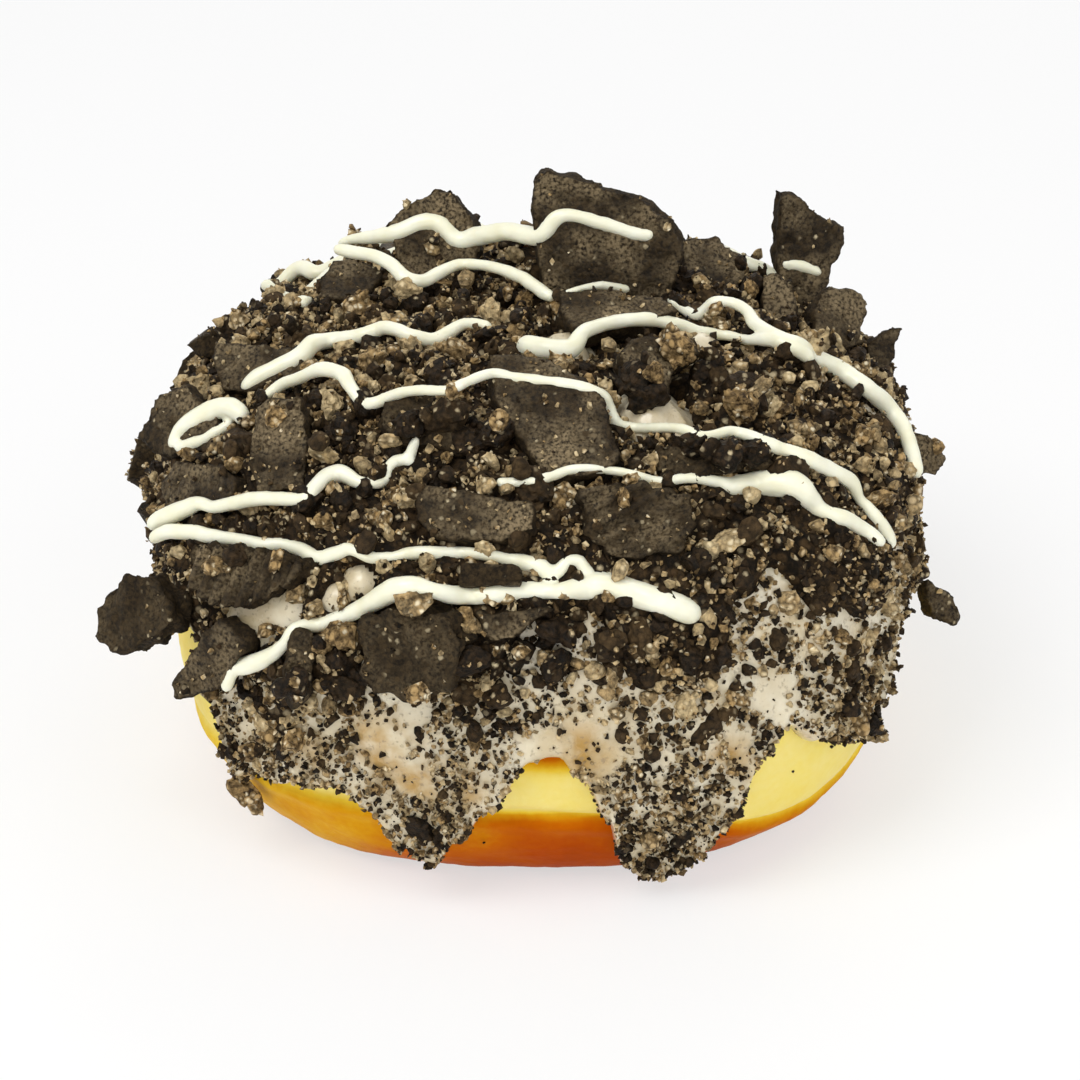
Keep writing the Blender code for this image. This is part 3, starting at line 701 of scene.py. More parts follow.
def makeWafer(look, number):
    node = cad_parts[f"wafer_{number:02d}"]
    shape = bmesh.new()
    shape.from_mesh(node.data)
    bmesh.ops.remove_doubles(shape, verts=shape.verts, dist=0.00001)
    slab = bpy.data.meshes.new("slab")
    shape.to_mesh(slab)
    shape.free()
    direction = flatDirection(slab)
    centre = readPoints(slab).mean(axis=0) / mm
    mesh = remeshed("slab", slab, look["voxel"])
    points = readPoints(mesh) / mm
    normals = readNormals(mesh)
    facing = np.abs(normals @ direction)
    flat = eased(facing, 0.75, 0.97)
    loose = 1.2 if number in look["crumbly"] else 1.0
    rough = look["fracture"] * ripple(points, look["fractureSize"], number)
    rough += look["crumble"] * (pebbles(points, look["crumbleSize"] * 1.6, number) - 0.5) - 0.12
    rough += 0.12 * ripple(points, 0.7, number + 0.5)
    even = look["faceWarp"] * ripple(points, 4.0, number) + look["faceGrain"] * ripple(points, 0.7, number)
    even -= look["pit"] * eased(ripple(points, 1.3, number + 0.3), 0.25, 0.6)
    if number in look["crumbly"]:
        clods = look["clod"] * (pebbles(points, look["clodSize"], number) - 0.5)
        rough += clods
        even = rough
    shift = rough * loose * (1 - flat) + even * flat
    if number in look["grooved"]:
        pitch, depth, turn = look["grooved"][number]
        side = np.cross(direction, (0.0, 0.0, 1.0))
        side /= np.linalg.norm(side)
        rise = np.cross(side, direction)
        along = (points - centre) @ (side * math.cos(turn) + rise * math.sin(turn))
        shift -= depth * (0.5 - 0.5 * np.cos(along / pitch * math.tau)) ** 1.5 * (0.7 + 0.3 * flat)
    paintPoints(mesh, "face", flat * (0.3 if number in look["crumbly"] else 1.0))
    writePoints(mesh, (points + normals * shift[:, None]) * mm)
    name = f"brokenWafer{number:02d}"
    piece = addPiece(name, mesh, waferBiscuit, [node.name])
    return piece, direction


wafers = [makeWafer(waferSettings, number) for number in range(1, waferSettings["count"] + 1)]
print("wafers made")


# Surfaces that later pieces are laid on.

layers = []     # (points, triangles, kind, flat direction)


def addLayer(mesh, kind, direction=None):
    layers.append((readPoints(mesh) / mm, readTriangles(mesh), kind, direction))


class Surface:
    # everything laid so far, for casting onto
    def __init__(self, chosen):
        points = []
        triangles = []
        self.starts = []
        pointCount = 0
        triangleCount = 0
        for layer in chosen:
            points.append(layer[0])
            triangles.append(layer[1] + pointCount)
            self.starts.append(triangleCount)
            pointCount += len(layer[0])
            triangleCount += len(layer[1])
        self.chosen = chosen
        self.tree = BVHTree.FromPolygons(np.concatenate(points).tolist(),
                                         np.concatenate(triangles).tolist())

    def cast(self, origin, direction, reach=60.0):
        place, normal, index, distance = self.tree.ray_cast(Vector(origin), Vector(direction), reach)
        if place is None:
            return None
        layer = self.chosen[int(np.searchsorted(self.starts, index, side="right")) - 1]
        return place, normal, layer, distance


for piece, direction in wafers:
    addLayer(piece.data, "wafer", direction)
waferSurface = Surface(layers)


coreSettings = {
    "rings": 150, "rimRings": 3, "sectors": 460, "below": 1.4, "relief": 1.0, "reliefSize": 2.3,
    "grit": 0.45, "gritSize": 1.1, "sway": 0.9, "swaySize": 5.0, "underWafer": 0.7,
    "edgeLift": 3.0, "frontLift": 7.0, "unevenEdge": 2.2, "reach": 24.0,
    "edgeSunk": 1.2, "bareSunk": 1.0, "innerSide": 0.5, "thinnest": 0.6,
}


def bedThickness(fall, base):
    domed = body["bedAtWaist"]
    domed += (body["bedOnTop"] - body["bedAtWaist"]) * np.cos(np.clip(fall, 0, 1) * math.pi / 2)
    bumps = ripple(base, body["bedLumpSize"]) + 0.6 * ripple(base * 2.3, body["bedLumpSize"])
    return domed + body["bedUnevenness"] * bumps * np.clip(domed / body["bedOnTop"] + 0.2, 0.0, 1.0)


def coreEdge(look, angle):
    # the core ends above the heap's own edge, so that the crumbs thin out over the icing
    front = np.exp(-((np.degrees(angle) + 66) / 42.0) ** 2)
    circle = np.stack([np.cos(angle) * 40, np.sin(angle) * 40, 0 * angle], axis=-1)
    uneven = look["unevenEdge"] * ripple(circle, 4.0, 14.0)
    return edgeHeights(bedEdge, angle) + look["edgeLift"] + look["frontLift"] * front + uneven


def makeCore(look):
    total = look["rings"] + look["rimRings"]
    mesh = spunBlank(coatProfile(total, (0.66, 0.33, 0.0)), look["sectors"])
    blank = readPoints(mesh)
    ring = np.hypot(blank[:, 0], blank[:, 1])
    angle = np.arctan2(blank[:, 1], blank[:, 0])
    lowest = fallAt(coreEdge(look, angle))
    share = ring / total
    fall = lowest * share ** 0.85
    base = bodyPoints(fall, angle)
    bare, _ = bareness(base)
    thick = bedThickness(fall, base) - look["below"]
    grains = pebbles(base, look["reliefSize"]) - 0.45
    thick += look["relief"] * grains + look["sway"] * ripple(base, look["swaySize"], 9.0)
    thick += look["grit"] * (pebbles(base, look["gritSize"], 8.0) - 0.4)
    toEdge = eased((lowest - fall) * 30.0, 0.0, 2.5)
    thick = thick * toEdge * (1 - bare) - look["edgeSunk"] * (1 - toEdge) - look["bareSunk"] * bare
    offset = body["icingOutside"] + 0.2 + thick
    inside = blank[:, 2] < 0.75
    outwardAt = bodyNormals(fall, angle)
    for index in np.nonzero(~inside)[0]:
        start = base[index] + outwardAt[index] * look["reach"]
        hit = waferSurface.cast(start, -outwardAt[index], look["reach"])
        if hit:
            above = look["reach"] - hit[3]
            offset[index] = min(offset[index], max(above - look["underWafer"], look["thinnest"]))
    offset = np.where(inside, look["innerSide"], offset)
    writePoints(mesh, bodyPoints(fall, angle, offset) * mm)
    turnOut(mesh)
    return addPiece("crumbCore", mesh, coreBiscuit, ["crumb_bed"])


crumbCore = makeCore(coreSettings)
addLayer(crumbCore.data, "core")
addLayer(icingCoat.data, "icing")
addLayer(doughBody.data, "dough")
print("core made")


def rockShape(chance, subdivisions, planes, granules, flatness):
    # a lump cut by random planes, with a granular skin
    shape = bmesh.new()
    bmesh.ops.create_icosphere(shape, subdivisions=subdivisions, radius=1.0)
    cuts = chance.normal(size=(planes, 3))
    cuts /= np.linalg.norm(cuts, axis=1)[:, None]
    depths = chance.uniform(0.55, 1.0, planes)
    stretch = np.array([1.0, chance.uniform(0.65, 1.0), chance.uniform(flatness, 0.85)])
    seed = chance.uniform(0, 50)
    for vertex in shape.verts:
        way = np.array(vertex.co)
        along = cuts @ way
        reach = min(1.05, float(np.min(np.where(along > 0.2, depths / np.maximum(along, 0.2), 9.0))))
        spot = Vector(way * 2.4) + Vector((seed, seed, 0))
        granule = 0.45 - min(noise.voronoi(spot)[0][0], 1.0)
        reach *= 1.0 + granules * granule + 0.12 * noise.noise(spot * 1.7)
        vertex.co = Vector(way * reach * stretch)
    return shapeArrays(shape)


def hullShape(chance, corners, flatness):
    # an angular grain: the hull of a few points
    shape = bmesh.new()
    spots = chance.normal(size=(corners, 3))
    spots /= np.linalg.norm(spots, axis=1)[:, None]
    spots *= chance.uniform(0.7, 1.05, (corners, 1)) * np.array([1.0, chance.uniform(0.7, 1), flatness])
    for spot in spots:
        shape.verts.new(spot)
    hull = bmesh.ops.convex_hull(shape, input=shape.verts)
    spare = list(set(hull["geom_interior"] + hull["geom_unused"]))
    bmesh.ops.delete(shape, geom=spare, context="VERTS")
    bmesh.ops.recalc_face_normals(shape, faces=shape.faces)
    return shapeArrays(shape)


def shapeArrays(shape):
    bmesh.ops.triangulate(shape, faces=shape.faces)
    shape.verts.index_update()
    points = np.array([vertex.co[:] for vertex in shape.verts])
    triangles = np.array([[vertex.index for vertex in face.verts] for face in shape.faces])
    shape.free()
    return points, triangles


def randomTurns(chance, count):
    spins = chance.normal(size=(count, 4))
    spins /= np.linalg.norm(spins, axis=1)[:, None]
    w, x, y, z = spins.T
    rows = [[1 - 2 * (y * y + z * z), 2 * (x * y - z * w), 2 * (x * z + y * w)],
            [2 * (x * y + z * w), 1 - 2 * (x * x + z * z), 2 * (y * z - x * w)],
            [2 * (x * z - y * w), 2 * (y * z + x * w), 1 - 2 * (x * x + y * y)]]
    return np.moveaxis(np.array(rows), 2, 0)


def joinGrains(name, shapes, chance, places, sizes, tones, material):
    # one mesh holding a turned and scaled copy of a shape at every place
    turns = randomTurns(chance, len(places))
    picks = chance.integers(0, len(shapes), len(places))
    points = []
    triangles = []
    shades = []
    start = 0
    for number, (corners, faces) in enumerate(shapes):
        chosen = np.nonzero(picks == number)[0]
        if not len(chosen):
            continue
        copies = np.einsum("nij,kj->nki", turns[chosen], corners) * (sizes[chosen] / 2)[:, None, None]
        copies += places[chosen][:, None, :]
        count = len(chosen) * len(corners)
        points.append(copies.reshape(-1, 3))
        steps = np.arange(len(chosen))[:, None, None] * len(corners)
        triangles.append((faces[None] + steps + start).reshape(-1, 3))
        shades.append(np.repeat(tones[chosen], len(corners)))
        start += count
    points = np.concatenate(points)
    triangles = np.concatenate(triangles)
    mesh = bpy.data.meshes.new(name)
    mesh.from_pydata((points * mm).tolist(), [], triangles.tolist())
    paintPoints(mesh, "tone", np.concatenate(shades))
    return addPiece(name, mesh, material, smooth=False)


def areaTable():
    falls = np.linspace(0.005, 1.8, 600)
    radius, height = outline(falls)
    steps = np.hypot(np.gradient(radius), np.gradient(height))
    amounts = np.cumsum(radius * steps)
    return falls, amounts / amounts[-1]


tableFalls, tableAreas = areaTable()

# Crowded and thin places along the icing's lower part: azimuth, height, radius, amount.
drifts = [
    (-71, 8.0, 6.0, 0.9), (-69, 15.0, 5.5, 0.7), (-76, 13.0, 4.0, 0.5), (-107, 9.0, 4.5, 0.9),
    (-104, 14.0, 4.0, 0.5), (-138, 11.0, 4.0, 0.8), (-134, 17.0, 4.5, 0.5), (-38, 18.0, 5.5, 0.8),
    (-44, 22.0, 5.0, 0.5), (-120, 16.5, 4.0, 0.4), (52, 12.0, 5.0, 0.6), (97, 11.0, 5.0, 0.6),
    (135, 14.0, 5.0, 0.6), (172, 15.0, 5.0, 0.6), (18, 17.0, 5.0, 0.6),
]


def coverage(points, fall, angle):
    # how much of the place is in the heap, and how crowded the icing below it is
    bare, _ = bareness(points)
    height = outline(fall)[1]
    bed = edgeHeights(bedEdge, angle)
    inHeap = eased(height - coreEdge(coreSettings, angle), -1.5, 1.5)
    patchy = eased(ripple(points, 2.4, 12.0) + 0.5 * ripple(points, 6.0, 13.0), -0.45, 0.2)
    upper = 0.62 + 0.38 * patchy
    lower = 0.34 + 0.48 * patchy
    for azimuth, level, radius, amount in drifts:
        middle = bodyPoints(fallAt(np.array(level)), np.array(math.radians(azimuth)))
        near = np.linalg.norm(points - middle, axis=1) / radius
        lower += amount * np.exp(-near * near)
    nearBed = eased(height - bed, -4.0, 3.0)
    crowd = upper * nearBed + np.clip(lower, 0.0, 1.0) * (1 - nearBed)
    onIcing = eased(height - edgeHeights(icingEdge, angle), -0.3, 1.2)
    clear = onIcing * (1 - 0.9 * bare)
    return inHeap * clear, (1 - inHeap) * crowd * clear


def fineSide(points):
    # 1 on the right of the front, where the crumbs are finer
    away = np.linalg.norm((points - np.array([33.0, -27.0, 40.0])) / np.array([15.0, 17.0, 12.0]), axis=1)
    return 1.0 - eased(away, 0.6, 1.3)


# No drizzle lies yet, so nothing keeps off it; its routes and widths are filled in later.
drizzleRoutes = KDTree(1)
drizzleRoutes.insert((0.0, 0.0, -500.0), 0)
drizzleRoutes.balance()
drizzleWidths = [0.0]


def stayChance(look, layer, normal):
    # the chance that a grain stays where it landed; wafers hold few on their broken edges
    kind = layer[2]
    if kind == "wafer":
        flat = abs(Vector(layer[3]) @ normal) > 0.75
        return look["onWafer"] * (1.0 if flat else 0.3)
    return {"dough": look["onDough"], "lump": look["onLump"]}.get(kind, 1.0)


def claimed(look, spot, size, spaced):
    # true, and the spot is taken, when no earlier grain is too near it
    key = tuple((spot // look["size"][1]).astype(int))
    around = [(key[0] + i, key[1] + j, key[2] + k)
              for i in (-1, 0, 1) for j in (-1, 0, 1) for k in (-1, 0, 1)]
    for near in around:
        for other, otherSize in spaced.get(near, []):
            if np.linalg.norm(other - spot) < look["spacing"] * (otherSize + size) / 2:
                return False
    spaced.setdefault(key, []).append((spot, size))
    return True


castHeight = 30.0       # grains fall from this far out


def scatter(look, surface, chance):
    # drops grains on what is there: returns places, sizes and tones
    count = look["tries"] // 1
    fall = np.interp(chance.random(count), tableAreas, tableFalls)
    angle = chance.random(count) * math.tau
    base = bodyPoints(fall, angle)
    ways = bodyNormals(fall, angle)
    heap, apron = coverage(base, fall, angle)
    keep = chance.random(count) < look["inHeap"] * heap + look["onIcing"] * apron
    keep &= chance.random(count) > look["lessOnFineSide"] * fineSide(base)
    keep &= (outline(fall)[1] - edgeHeights(bedEdge, angle) > look["above"])
    smallest, largest = look["size"]
    sizes = smallest + (largest - smallest) * chance.random(count) ** look["smallness"]
    dice = chance.random((count, 3))
    steep = eased(fall, 0.5, 0.8)
    places = []
    kept = []
    spaced = {}
    for index in np.nonzero(keep)[0]:
        hit = surface.cast(base[index] + ways[index] * castHeight, -ways[index])
        if hit is None:
            continue
        place, normal, layer, _ = hit
        if dice[index][0] > stayChance(look, layer, normal):
            continue
        spot = np.array(place)
        _, number, distance = drizzleRoutes.find(place)
        if distance < drizzleWidths[number] * 0.5 + sizes[index] * 0.35:
            continue
        if look["spacing"] and not claimed(look, spot, sizes[index], spaced):
            continue
        lift = look["lift"] - look["deeperAtSide"] * steep[index] + 0.15 * (dice[index][1] - 0.5)
        places.append(spot + ways[index] * (sizes[index] * lift))
        kept.append(index)
        if len(kept) >= look["most"]:
            break
    kept = np.array(kept, int)
    return np.array(places), sizes[kept], dice[kept, 2]


def lumpShapes(chance, subdivisions, granules, count):
    return [rockShape(chance, subdivisions, 11, granules, 0.5) for _ in range(count)]


def layCrumbs(name, look, shapes, seed, material, extra=()):
    chance = np.random.default_rng(seed)
    surface = Surface(layers)
    places, sizes, tones = scatter(look, surface, chance)
    if extra:
        places = np.concatenate([places, [place for place, _ in extra]])
        sizes = np.concatenate([sizes, [size for _, size in extra]])
        tones = np.concatenate([tones, chance.random(len(extra)) * 0.6])
    piece = joinGrains(name, shapes, chance, places, sizes, tones, material)
    print(name, len(places))
    return piece


shapeChance = np.random.default_rng(5)
bigDark = lumpShapes(shapeChance, 3, 0.34, 14)
bigTan = lumpShapes(shapeChance, 3, 0.55, 10)
midShapes = [rockShape(shapeChance, 2, 9, 0.25, 0.5) for _ in range(14)]
grainShapes = [hullShape(shapeChance, 16, 0.75) for _ in range(12)]
smallShapes = [hullShape(shapeChance, 10, 0.8) for _ in range(12)]
dustShapes = [hullShape(shapeChance, 7, 0.85) for _ in range(8)]

# In each look, inHeap and onIcing are the chances of keeping a grain there, above is its least
# height over the heap's edge, and onDough, onWafer and onLump are its chances of staying on those.
lumpLook = {"tries": 6000, "most": 120, "inHeap": 1.0, "onIcing": 0.0, "lessOnFineSide": 0.85, "above": 1.5,
            "size": (3.4, 6.4), "smallness": 1.5, "onDough": 0.0, "onWafer": 0.02, "onLump": 0.3,
            "spacing": 0.85, "lift": 0.10, "deeperAtSide": 0.3}
tanLumpLook = {**lumpLook, "most": 150, "onIcing": 0.03, "size": (2.8, 4.8), "lift": 0.16, "above": 0.5}
midLook = {**lumpLook, "tries": 12000, "most": 480, "onIcing": 0.15, "size": (2.0, 3.6), "smallness": 1.4,
           "above": -5.0, "lessOnFineSide": 0.7, "spacing": 0.75, "lift": 0.16, "deeperAtSide": 0.2}
midTanLook = {**midLook, "most": 460, "lessOnFineSide": 0.3, "size": (1.7, 3.0), "lift": 0.2}
crumbLook = {**midLook, "tries": 20000, "most": 1900, "inHeap": 0.6, "onIcing": 0.5, "lessOnFineSide": 0.2,
             "above": -40.0, "size": (1.0, 2.0), "smallness": 1.4, "onWafer": 0.02, "onLump": 0.15,
             "spacing": 0.0, "lift": 0.18, "deeperAtSide": 0.1}
crumbTanLook = {**crumbLook, "most": 2600, "tries": 26000, "size": (0.9, 1.8)}
smallLook = {**crumbLook, "tries": 30000, "most": 4400, "inHeap": 0.35, "onIcing": 1.0,
             "lessOnFineSide": 0.0, "size": (0.5, 1.15), "onWafer": 0.12, "onLump": 0.2, "lift": 0.2,
             "deeperAtSide": 0.0}
smallTanLook = {**smallLook, "most": 7000, "tries": 36000, "size": (0.5, 1.1)}
dustLook = {**smallLook, "tries": 30000, "most": 5500, "inHeap": 0.12, "onIcing": 0.8, "size": (0.25, 0.6),
            "onWafer": 0.1, "onDough": 0.02, "onLump": 0.2}
creamLook = {**dustLook, "tries": 26000, "most": 4500, "inHeap": 0.45, "onIcing": 0.2, "size": (0.35, 0.9),
             "onWafer": 0.5, "onLump": 0.7}

# Lumps that hang at the icing's edge or cap a drip: place and size.
hungLumps = {
    "dark": [
        ((-33.6, -34.2, 16.2), 3.2), ((-13.2, -42.0, 11.2), 4.4), ((-10.4, -42.0, 10.2), 3.0),
        ((-8.6, -42.2, 12.4), 2.6), ((9.2, -41.6, 8.0), 2.8), ((15.8, -40.8, 9.4), 3.4),
        ((12.6, -40.6, 5.4), 2.6), ((8.6, -43.0, 13.0), 2.4), ((37.6, -30.4, 17.0), 3.8),
        ((34.0, -34.6, 22.0), 3.6), ((-31.6, -35.8, 25.2), 4.4), ((-28.6, -37.4, 24.4), 3.4),
    ],
    "tan": [
        ((-33.4, -32.4, 9.4), 4.6), ((-32.2, -31.6, 7.4), 3.2), ((12.4, -42.0, 9.6), 3.2),
        ((35.6, -33.0, 19.4), 4.6), ((38.4, -28.6, 14.6), 3.4),
    ],
}
looseChips = [
    ((21.8, -38.6, 13.9), 1.7), ((21.2, -38.6, 12.4), 1.5), ((24.8, -36.2, 11.0), 0.8),
    ((26.8, -34.6, 9.4), 0.7), ((-25.1, -37.2, 14.6), 2.2), ((-21.8, -38.8, 14.8), 1.9),
    ((30.2, -35.0, 19.0), 0.6), ((28.4, -35.6, 14.2), 0.5), ((16.6, -38.6, 5.8), 0.8),
    ((-26.0, -34.4, 9.0), 0.5), ((-6.0, -40.6, 8.0), 0.5), ((33.0, -32.0, 15.2), 0.6),
]

# The camera's place and aim. The strands and the single lumps are given as they are seen from
# here: across and up, in millimetres, on the plane through the aim that faces the camera. They
# are cast from here onto the heap. The strands at the back use the opposite place.
viewpoint = {"back": 335.5, "height": 204.4, "aim": 26.0}
castReach = 600.0

# Lumps placed singly on the heap from the viewpoint: across, up and size.
droppedLumps = {
    "dark": [
        (11.9, 17.3, 6.5), (13.0, 15.5, 5.5), (-10.7, 13.7, 6.5), (-15.5, 12.0, 5.0), (-7.7, 10.0, 6.0),
        (-23.2, 11.3, 5.0), (17.9, 10.0, 5.0), (22.0, 8.7, 5.5), (26.0, 9.0, 5.0), (2.4, -11.3, 5.5),
        (8.3, -13.7, 5.5), (-2.4, -14.9, 5.5), (14.9, -9.0, 4.5), (2.4, -16.0, 5.0), (-9.0, -16.0, 5.0),
        (-4.8, -19.6, 4.5), (19.0, -4.2, 4.0), (-28.0, 3.0, 4.5), (-36.0, -3.0, 4.0), (30.0, 3.0, 4.0),
        (-29.0, -19.0, 4.5), (-22.0, -17.5, 4.0),
    ],
    "tan": [
        (16.7, 21.1, 5.5), (13.7, 18.2, 4.0), (24.4, 14.9, 4.5), (28.0, 13.7, 4.5), (26.2, 16.7, 3.5),
        (-17.3, 3.0, 3.5), (-19.0, 1.2, 3.5), (-23.2, -8.9, 3.5), (-28.6, -8.0, 3.2), (-15.2, -9.3, 5.5),
        (-23.2, -12.3, 4.0), (-25.0, -13.9, 3.6), (40.8, 3.3, 4.5), (-9.3, 20.8, 4.5), (2.4, 3.0, 3.0),
        (10.0, 3.6, 3.0), (-14.3, -19.6, 3.0), (-28.6, -25.0, 3.5), (-31.0, -4.0, 3.0), (22.6, 5.4, 3.0),
        (33.0, 17.5, 3.6), (19.6, 29.0, 3.6), (-31.5, 13.5, 3.0), (30.0, -9.0, 3.0), (-8.0, -11.5, 3.2),
        (36.0, -13.0, 3.0), (-38.5, -4.5, 3.4),
    ],
}


def dropped(kind):
    surface = Surface(layers)
    start = Vector((0.0, -viewpoint["back"], viewpoint["height"]))
    ahead = (Vector((0.0, 0.0, viewpoint["aim"])) - start).normalized()
    up = Vector((1.0, 0.0, 0.0)).cross(ahead)
    found = []
    for across, rise, size in droppedLumps[kind]:
        target = Vector((across, 0.0, viewpoint["aim"])) + up * rise
        hit = surface.cast(start, (target - start).normalized(), castReach)
        if hit:
            found.append((tuple(hit[0] + hit[1] * size * 0.1), size))
    return found


darkLumps = layCrumbs("darkLumps", lumpLook, bigDark, 11, darkBiscuit, hungLumps["dark"] + dropped("dark"))
addLayer(darkLumps.data, "lump")
tanLumps = layCrumbs("tanLumps", tanLumpLook, bigTan, 12, tanBiscuit, hungLumps["tan"] + dropped("tan"))
addLayer(tanLumps.data, "lump")
darkPebbles = layCrumbs("darkPebbles", midLook, midShapes, 13, darkBiscuit)
addLayer(darkPebbles.data, "lump")
tanPebbles = layCrumbs("tanPebbles", midTanLook, midShapes, 14, tanBiscuit)
addLayer(tanPebbles.data, "lump")


# Each strand, from the viewpoint: across, up and the width there.
frontStrands = [
    [(-24, 34, 1.0), (-22.5, 34.5, 1.2), (-19, 35, 1.9), (-16.5, 35.5, 2.4), (-14, 36.5, 2.4),
     (-12, 36.5, 2.4), (-9.5, 34.5, 2.4), (-7, 35, 2.4), (-3.5, 35.5, 2.2), (0, 35, 2.4), (2, 37, 2.2),
     (4, 37.5, 1.9), (8, 36.5, 1.9), (11, 35.5, 1.8), (14, 35, 1.8)],
    [(-24.5, 33.5, 1.4), (-22, 33, 1.6), (-19.5, 32.5, 1.6), (-17.5, 31.5, 1.7), (-16, 30, 1.8),
     (-14, 29.5, 1.7), (-12, 30.5, 1.6), (-9.5, 31.5, 1.4), (-7, 31.5, 1.4), (-4.5, 31, 1.4),
     (-2, 30, 1.6), (1, 28, 1.6), (2, 27.5, 1.2)],
    [(3, 28, 0.8), (4.5, 28.5, 0.9), (7.5, 29, 1.0), (11, 28.5, 1.2)],
    [(15.5, 27.5, 1.0), (17, 26.5, 1.2), (19, 25.5, 1.4), (21, 27, 1.3), (23, 27, 1.4), (25, 26, 1.4),
     (26, 24.5, 1.7), (28.5, 23, 1.7), (31, 22, 1.9), (33, 20.5, 2.2), (36, 19, 2.2), (39, 17, 2.2),
     (41.5, 15, 2.2), (43.5, 12.5, 1.9), (44.5, 10, 1.9), (45.5, 6, 1.7)],
    [(-35.5, 16.5, 1.4), (-33.5, 18, 2.2), (-31.5, 19, 2.2), (-28.5, 20.5, 2.4), (-27, 22, 2.2),
     (-24.5, 22.5, 1.9), (-21, 23, 1.9), (-18, 24, 1.7), (-15, 23, 1.7), (-12.5, 22.5, 1.7),
     (-10.5, 23.5, 1.7), (-8.5, 24.5, 1.4), (-5.5, 24, 1.4)],
    [(-2.5, 22, 2.6), (1, 21.5, 2.4), (4, 21.5, 2.4), (5.5, 23.5, 1.7), (8.5, 24.5, 1.7),
     (12.5, 25, 1.7), (16, 24.5, 1.7), (19.5, 23.5, 1.4), (23, 23, 1.3), (25, 22.5, 1.2),
     (28, 22.5, 1.7), (31, 21.5, 1.9), (33, 20, 1.7)],
    [(-33, 15.5, 1.0), (-31, 17, 1.4), (-28.5, 18, 1.4), (-26, 19, 1.7), (-23.5, 18.5, 1.7),
     (-22.5, 17, 1.6), (-21, 15, 1.4), (-19.5, 15, 1.4), (-17, 16, 1.4), (-14.5, 16.5, 1.2),
     (-11, 16.5, 1.2), (-8.5, 17.5, 1.2), (-5.5, 18.5, 1.2), (-3, 18, 1.3), (1, 17.5, 1.4),
     (4.5, 17, 1.4), (7.5, 16, 1.4), (8.5, 14.5, 1.4), (9.5, 12.5, 1.4), (12, 12, 1.2), (16.5, 12, 1.2),
     (20, 11, 1.2), (23, 11.5, 1.4), (25.5, 11, 1.4), (29, 9.5, 1.6), (32, 8.5, 1.8), (35, 7, 1.8),
     (37.5, 5.5, 1.8), (38.5, 3.5, 1.2), (39.5, 2.5, 1.4), (41, 0.5, 1.7), (42, -1, 1.7),
     (42.5, -2.5, 1.0)],
    [(-5, 5.5, 1.1), (-2, 5.5, 1.1), (1, 6, 1.1), (4, 7, 1.1), (7.5, 7, 1.0), (11, 6.5, 1.1),
     (14.5, 5.5, 1.1), (18, 6, 1.2), (21.5, 5.5, 1.4), (23, 5, 2.4), (25.5, 5, 3.1), (28.5, 5.5, 3.4),
     (31, 5, 3.1), (32.5, 3.5, 2.4), (34, 2, 1.9), (37, 1, 1.9), (39.5, -0.5, 1.7), (41.5, -2, 1.2)],
    [(-46.5, 0, 1.7), (-45.5, 1, 1.9), (-43, 2, 2.2), (-40.5, 3, 1.7), (-39, 2.5, 1.4), (-36.5, 3, 1.7),
     (-34, 3.5, 1.7), (-30.5, 3.5, 1.6), (-28, 3.5, 1.4), (-27, 4.5, 1.7), (-25.5, 6, 1.9),
     (-23.5, 6.5, 2.2), (-21.5, 5.5, 1.4), (-18.5, 5.5, 1.2), (-18, 7, 1.2), (-17, 8, 1.4),
     (-15.5, 8, 1.7), (-14.5, 7.5, 1.2)],
    [(-15.5, 8, 1.4), (-15, 9.5, 1.4), (-14.5, 11, 0.7)],
    [(-46.5, -1.5, 1.4), (-44.5, -0.5, 1.7), (-41.5, -0.5, 1.8), (-39, -1, 1.6), (-35.5, -1.5, 1.6),
     (-33, -2, 1.7), (-30.5, -2, 1.6), (-28.5, -2.5, 1.7), (-26.5, -3.5, 1.7), (-24, -3, 1.6),
     (-22.5, -2.5, 1.4), (-20, -3.5, 1.4), (-17.5, -3.5, 1.4), (-15, -3, 1.4), (-11.5, -3, 1.6),
     (-8, -3, 1.4), (-5, -3.5, 1.4), (-2.5, -4, 1.7), (0, -4.5, 1.9), (2, -5.5, 1.9), (3.5, -4, 1.4),
     (5, -4, 1.4), (5.5, -5, 1.7), (6.5, -6, 1.9)],
    [(-37.5, -19.5, 1.4), (-36.5, -17, 1.7), (-35, -16.5, 2.2), (-32.5, -15.5, 1.9), (-30.5, -14, 1.4),
     (-29, -12, 1.4), (-26, -11.5, 1.8), (-23, -10.5, 1.8), (-20, -9, 2.2), (-17.5, -7.5, 2.6),
     (-15, -7, 2.4), (-12.5, -7.5, 1.7), (-10, -8, 2.2), (-6.5, -8, 2.0), (-3.5, -7.5, 2.3),
     (0, -7.5, 1.9), (3, -7.5, 1.8), (6, -7, 2.9), (9, -7, 3.1), (12, -8, 2.9), (15.5, -9, 2.9),
     (18, -10, 2.9), (19.5, -10.5, 2.6)],
    [(-44, 9.5, 1.2), (-43, 11.5, 1.7), (-41, 13, 2.4), (-39, 14, 2.6), (-37, 14.5, 2.4),
     (-35.5, 13.5, 2.2), (-36, 12.5, 1.7)],
    [(-43.5, 9.5, 1.4), (-41.5, 10, 1.7), (-40, 10.5, 1.4), (-38.5, 11.5, 1.4), (-36.5, 12.5, 1.4)],
    [(29, 31.5, 1.4), (31, 31.5, 1.7), (32.5, 31, 1.7), (34, 30.5, 1.0)],
    [(-29, 27.5, 1.9), (-28, 27, 2.2), (-27, 27.5, 1.4)],
]
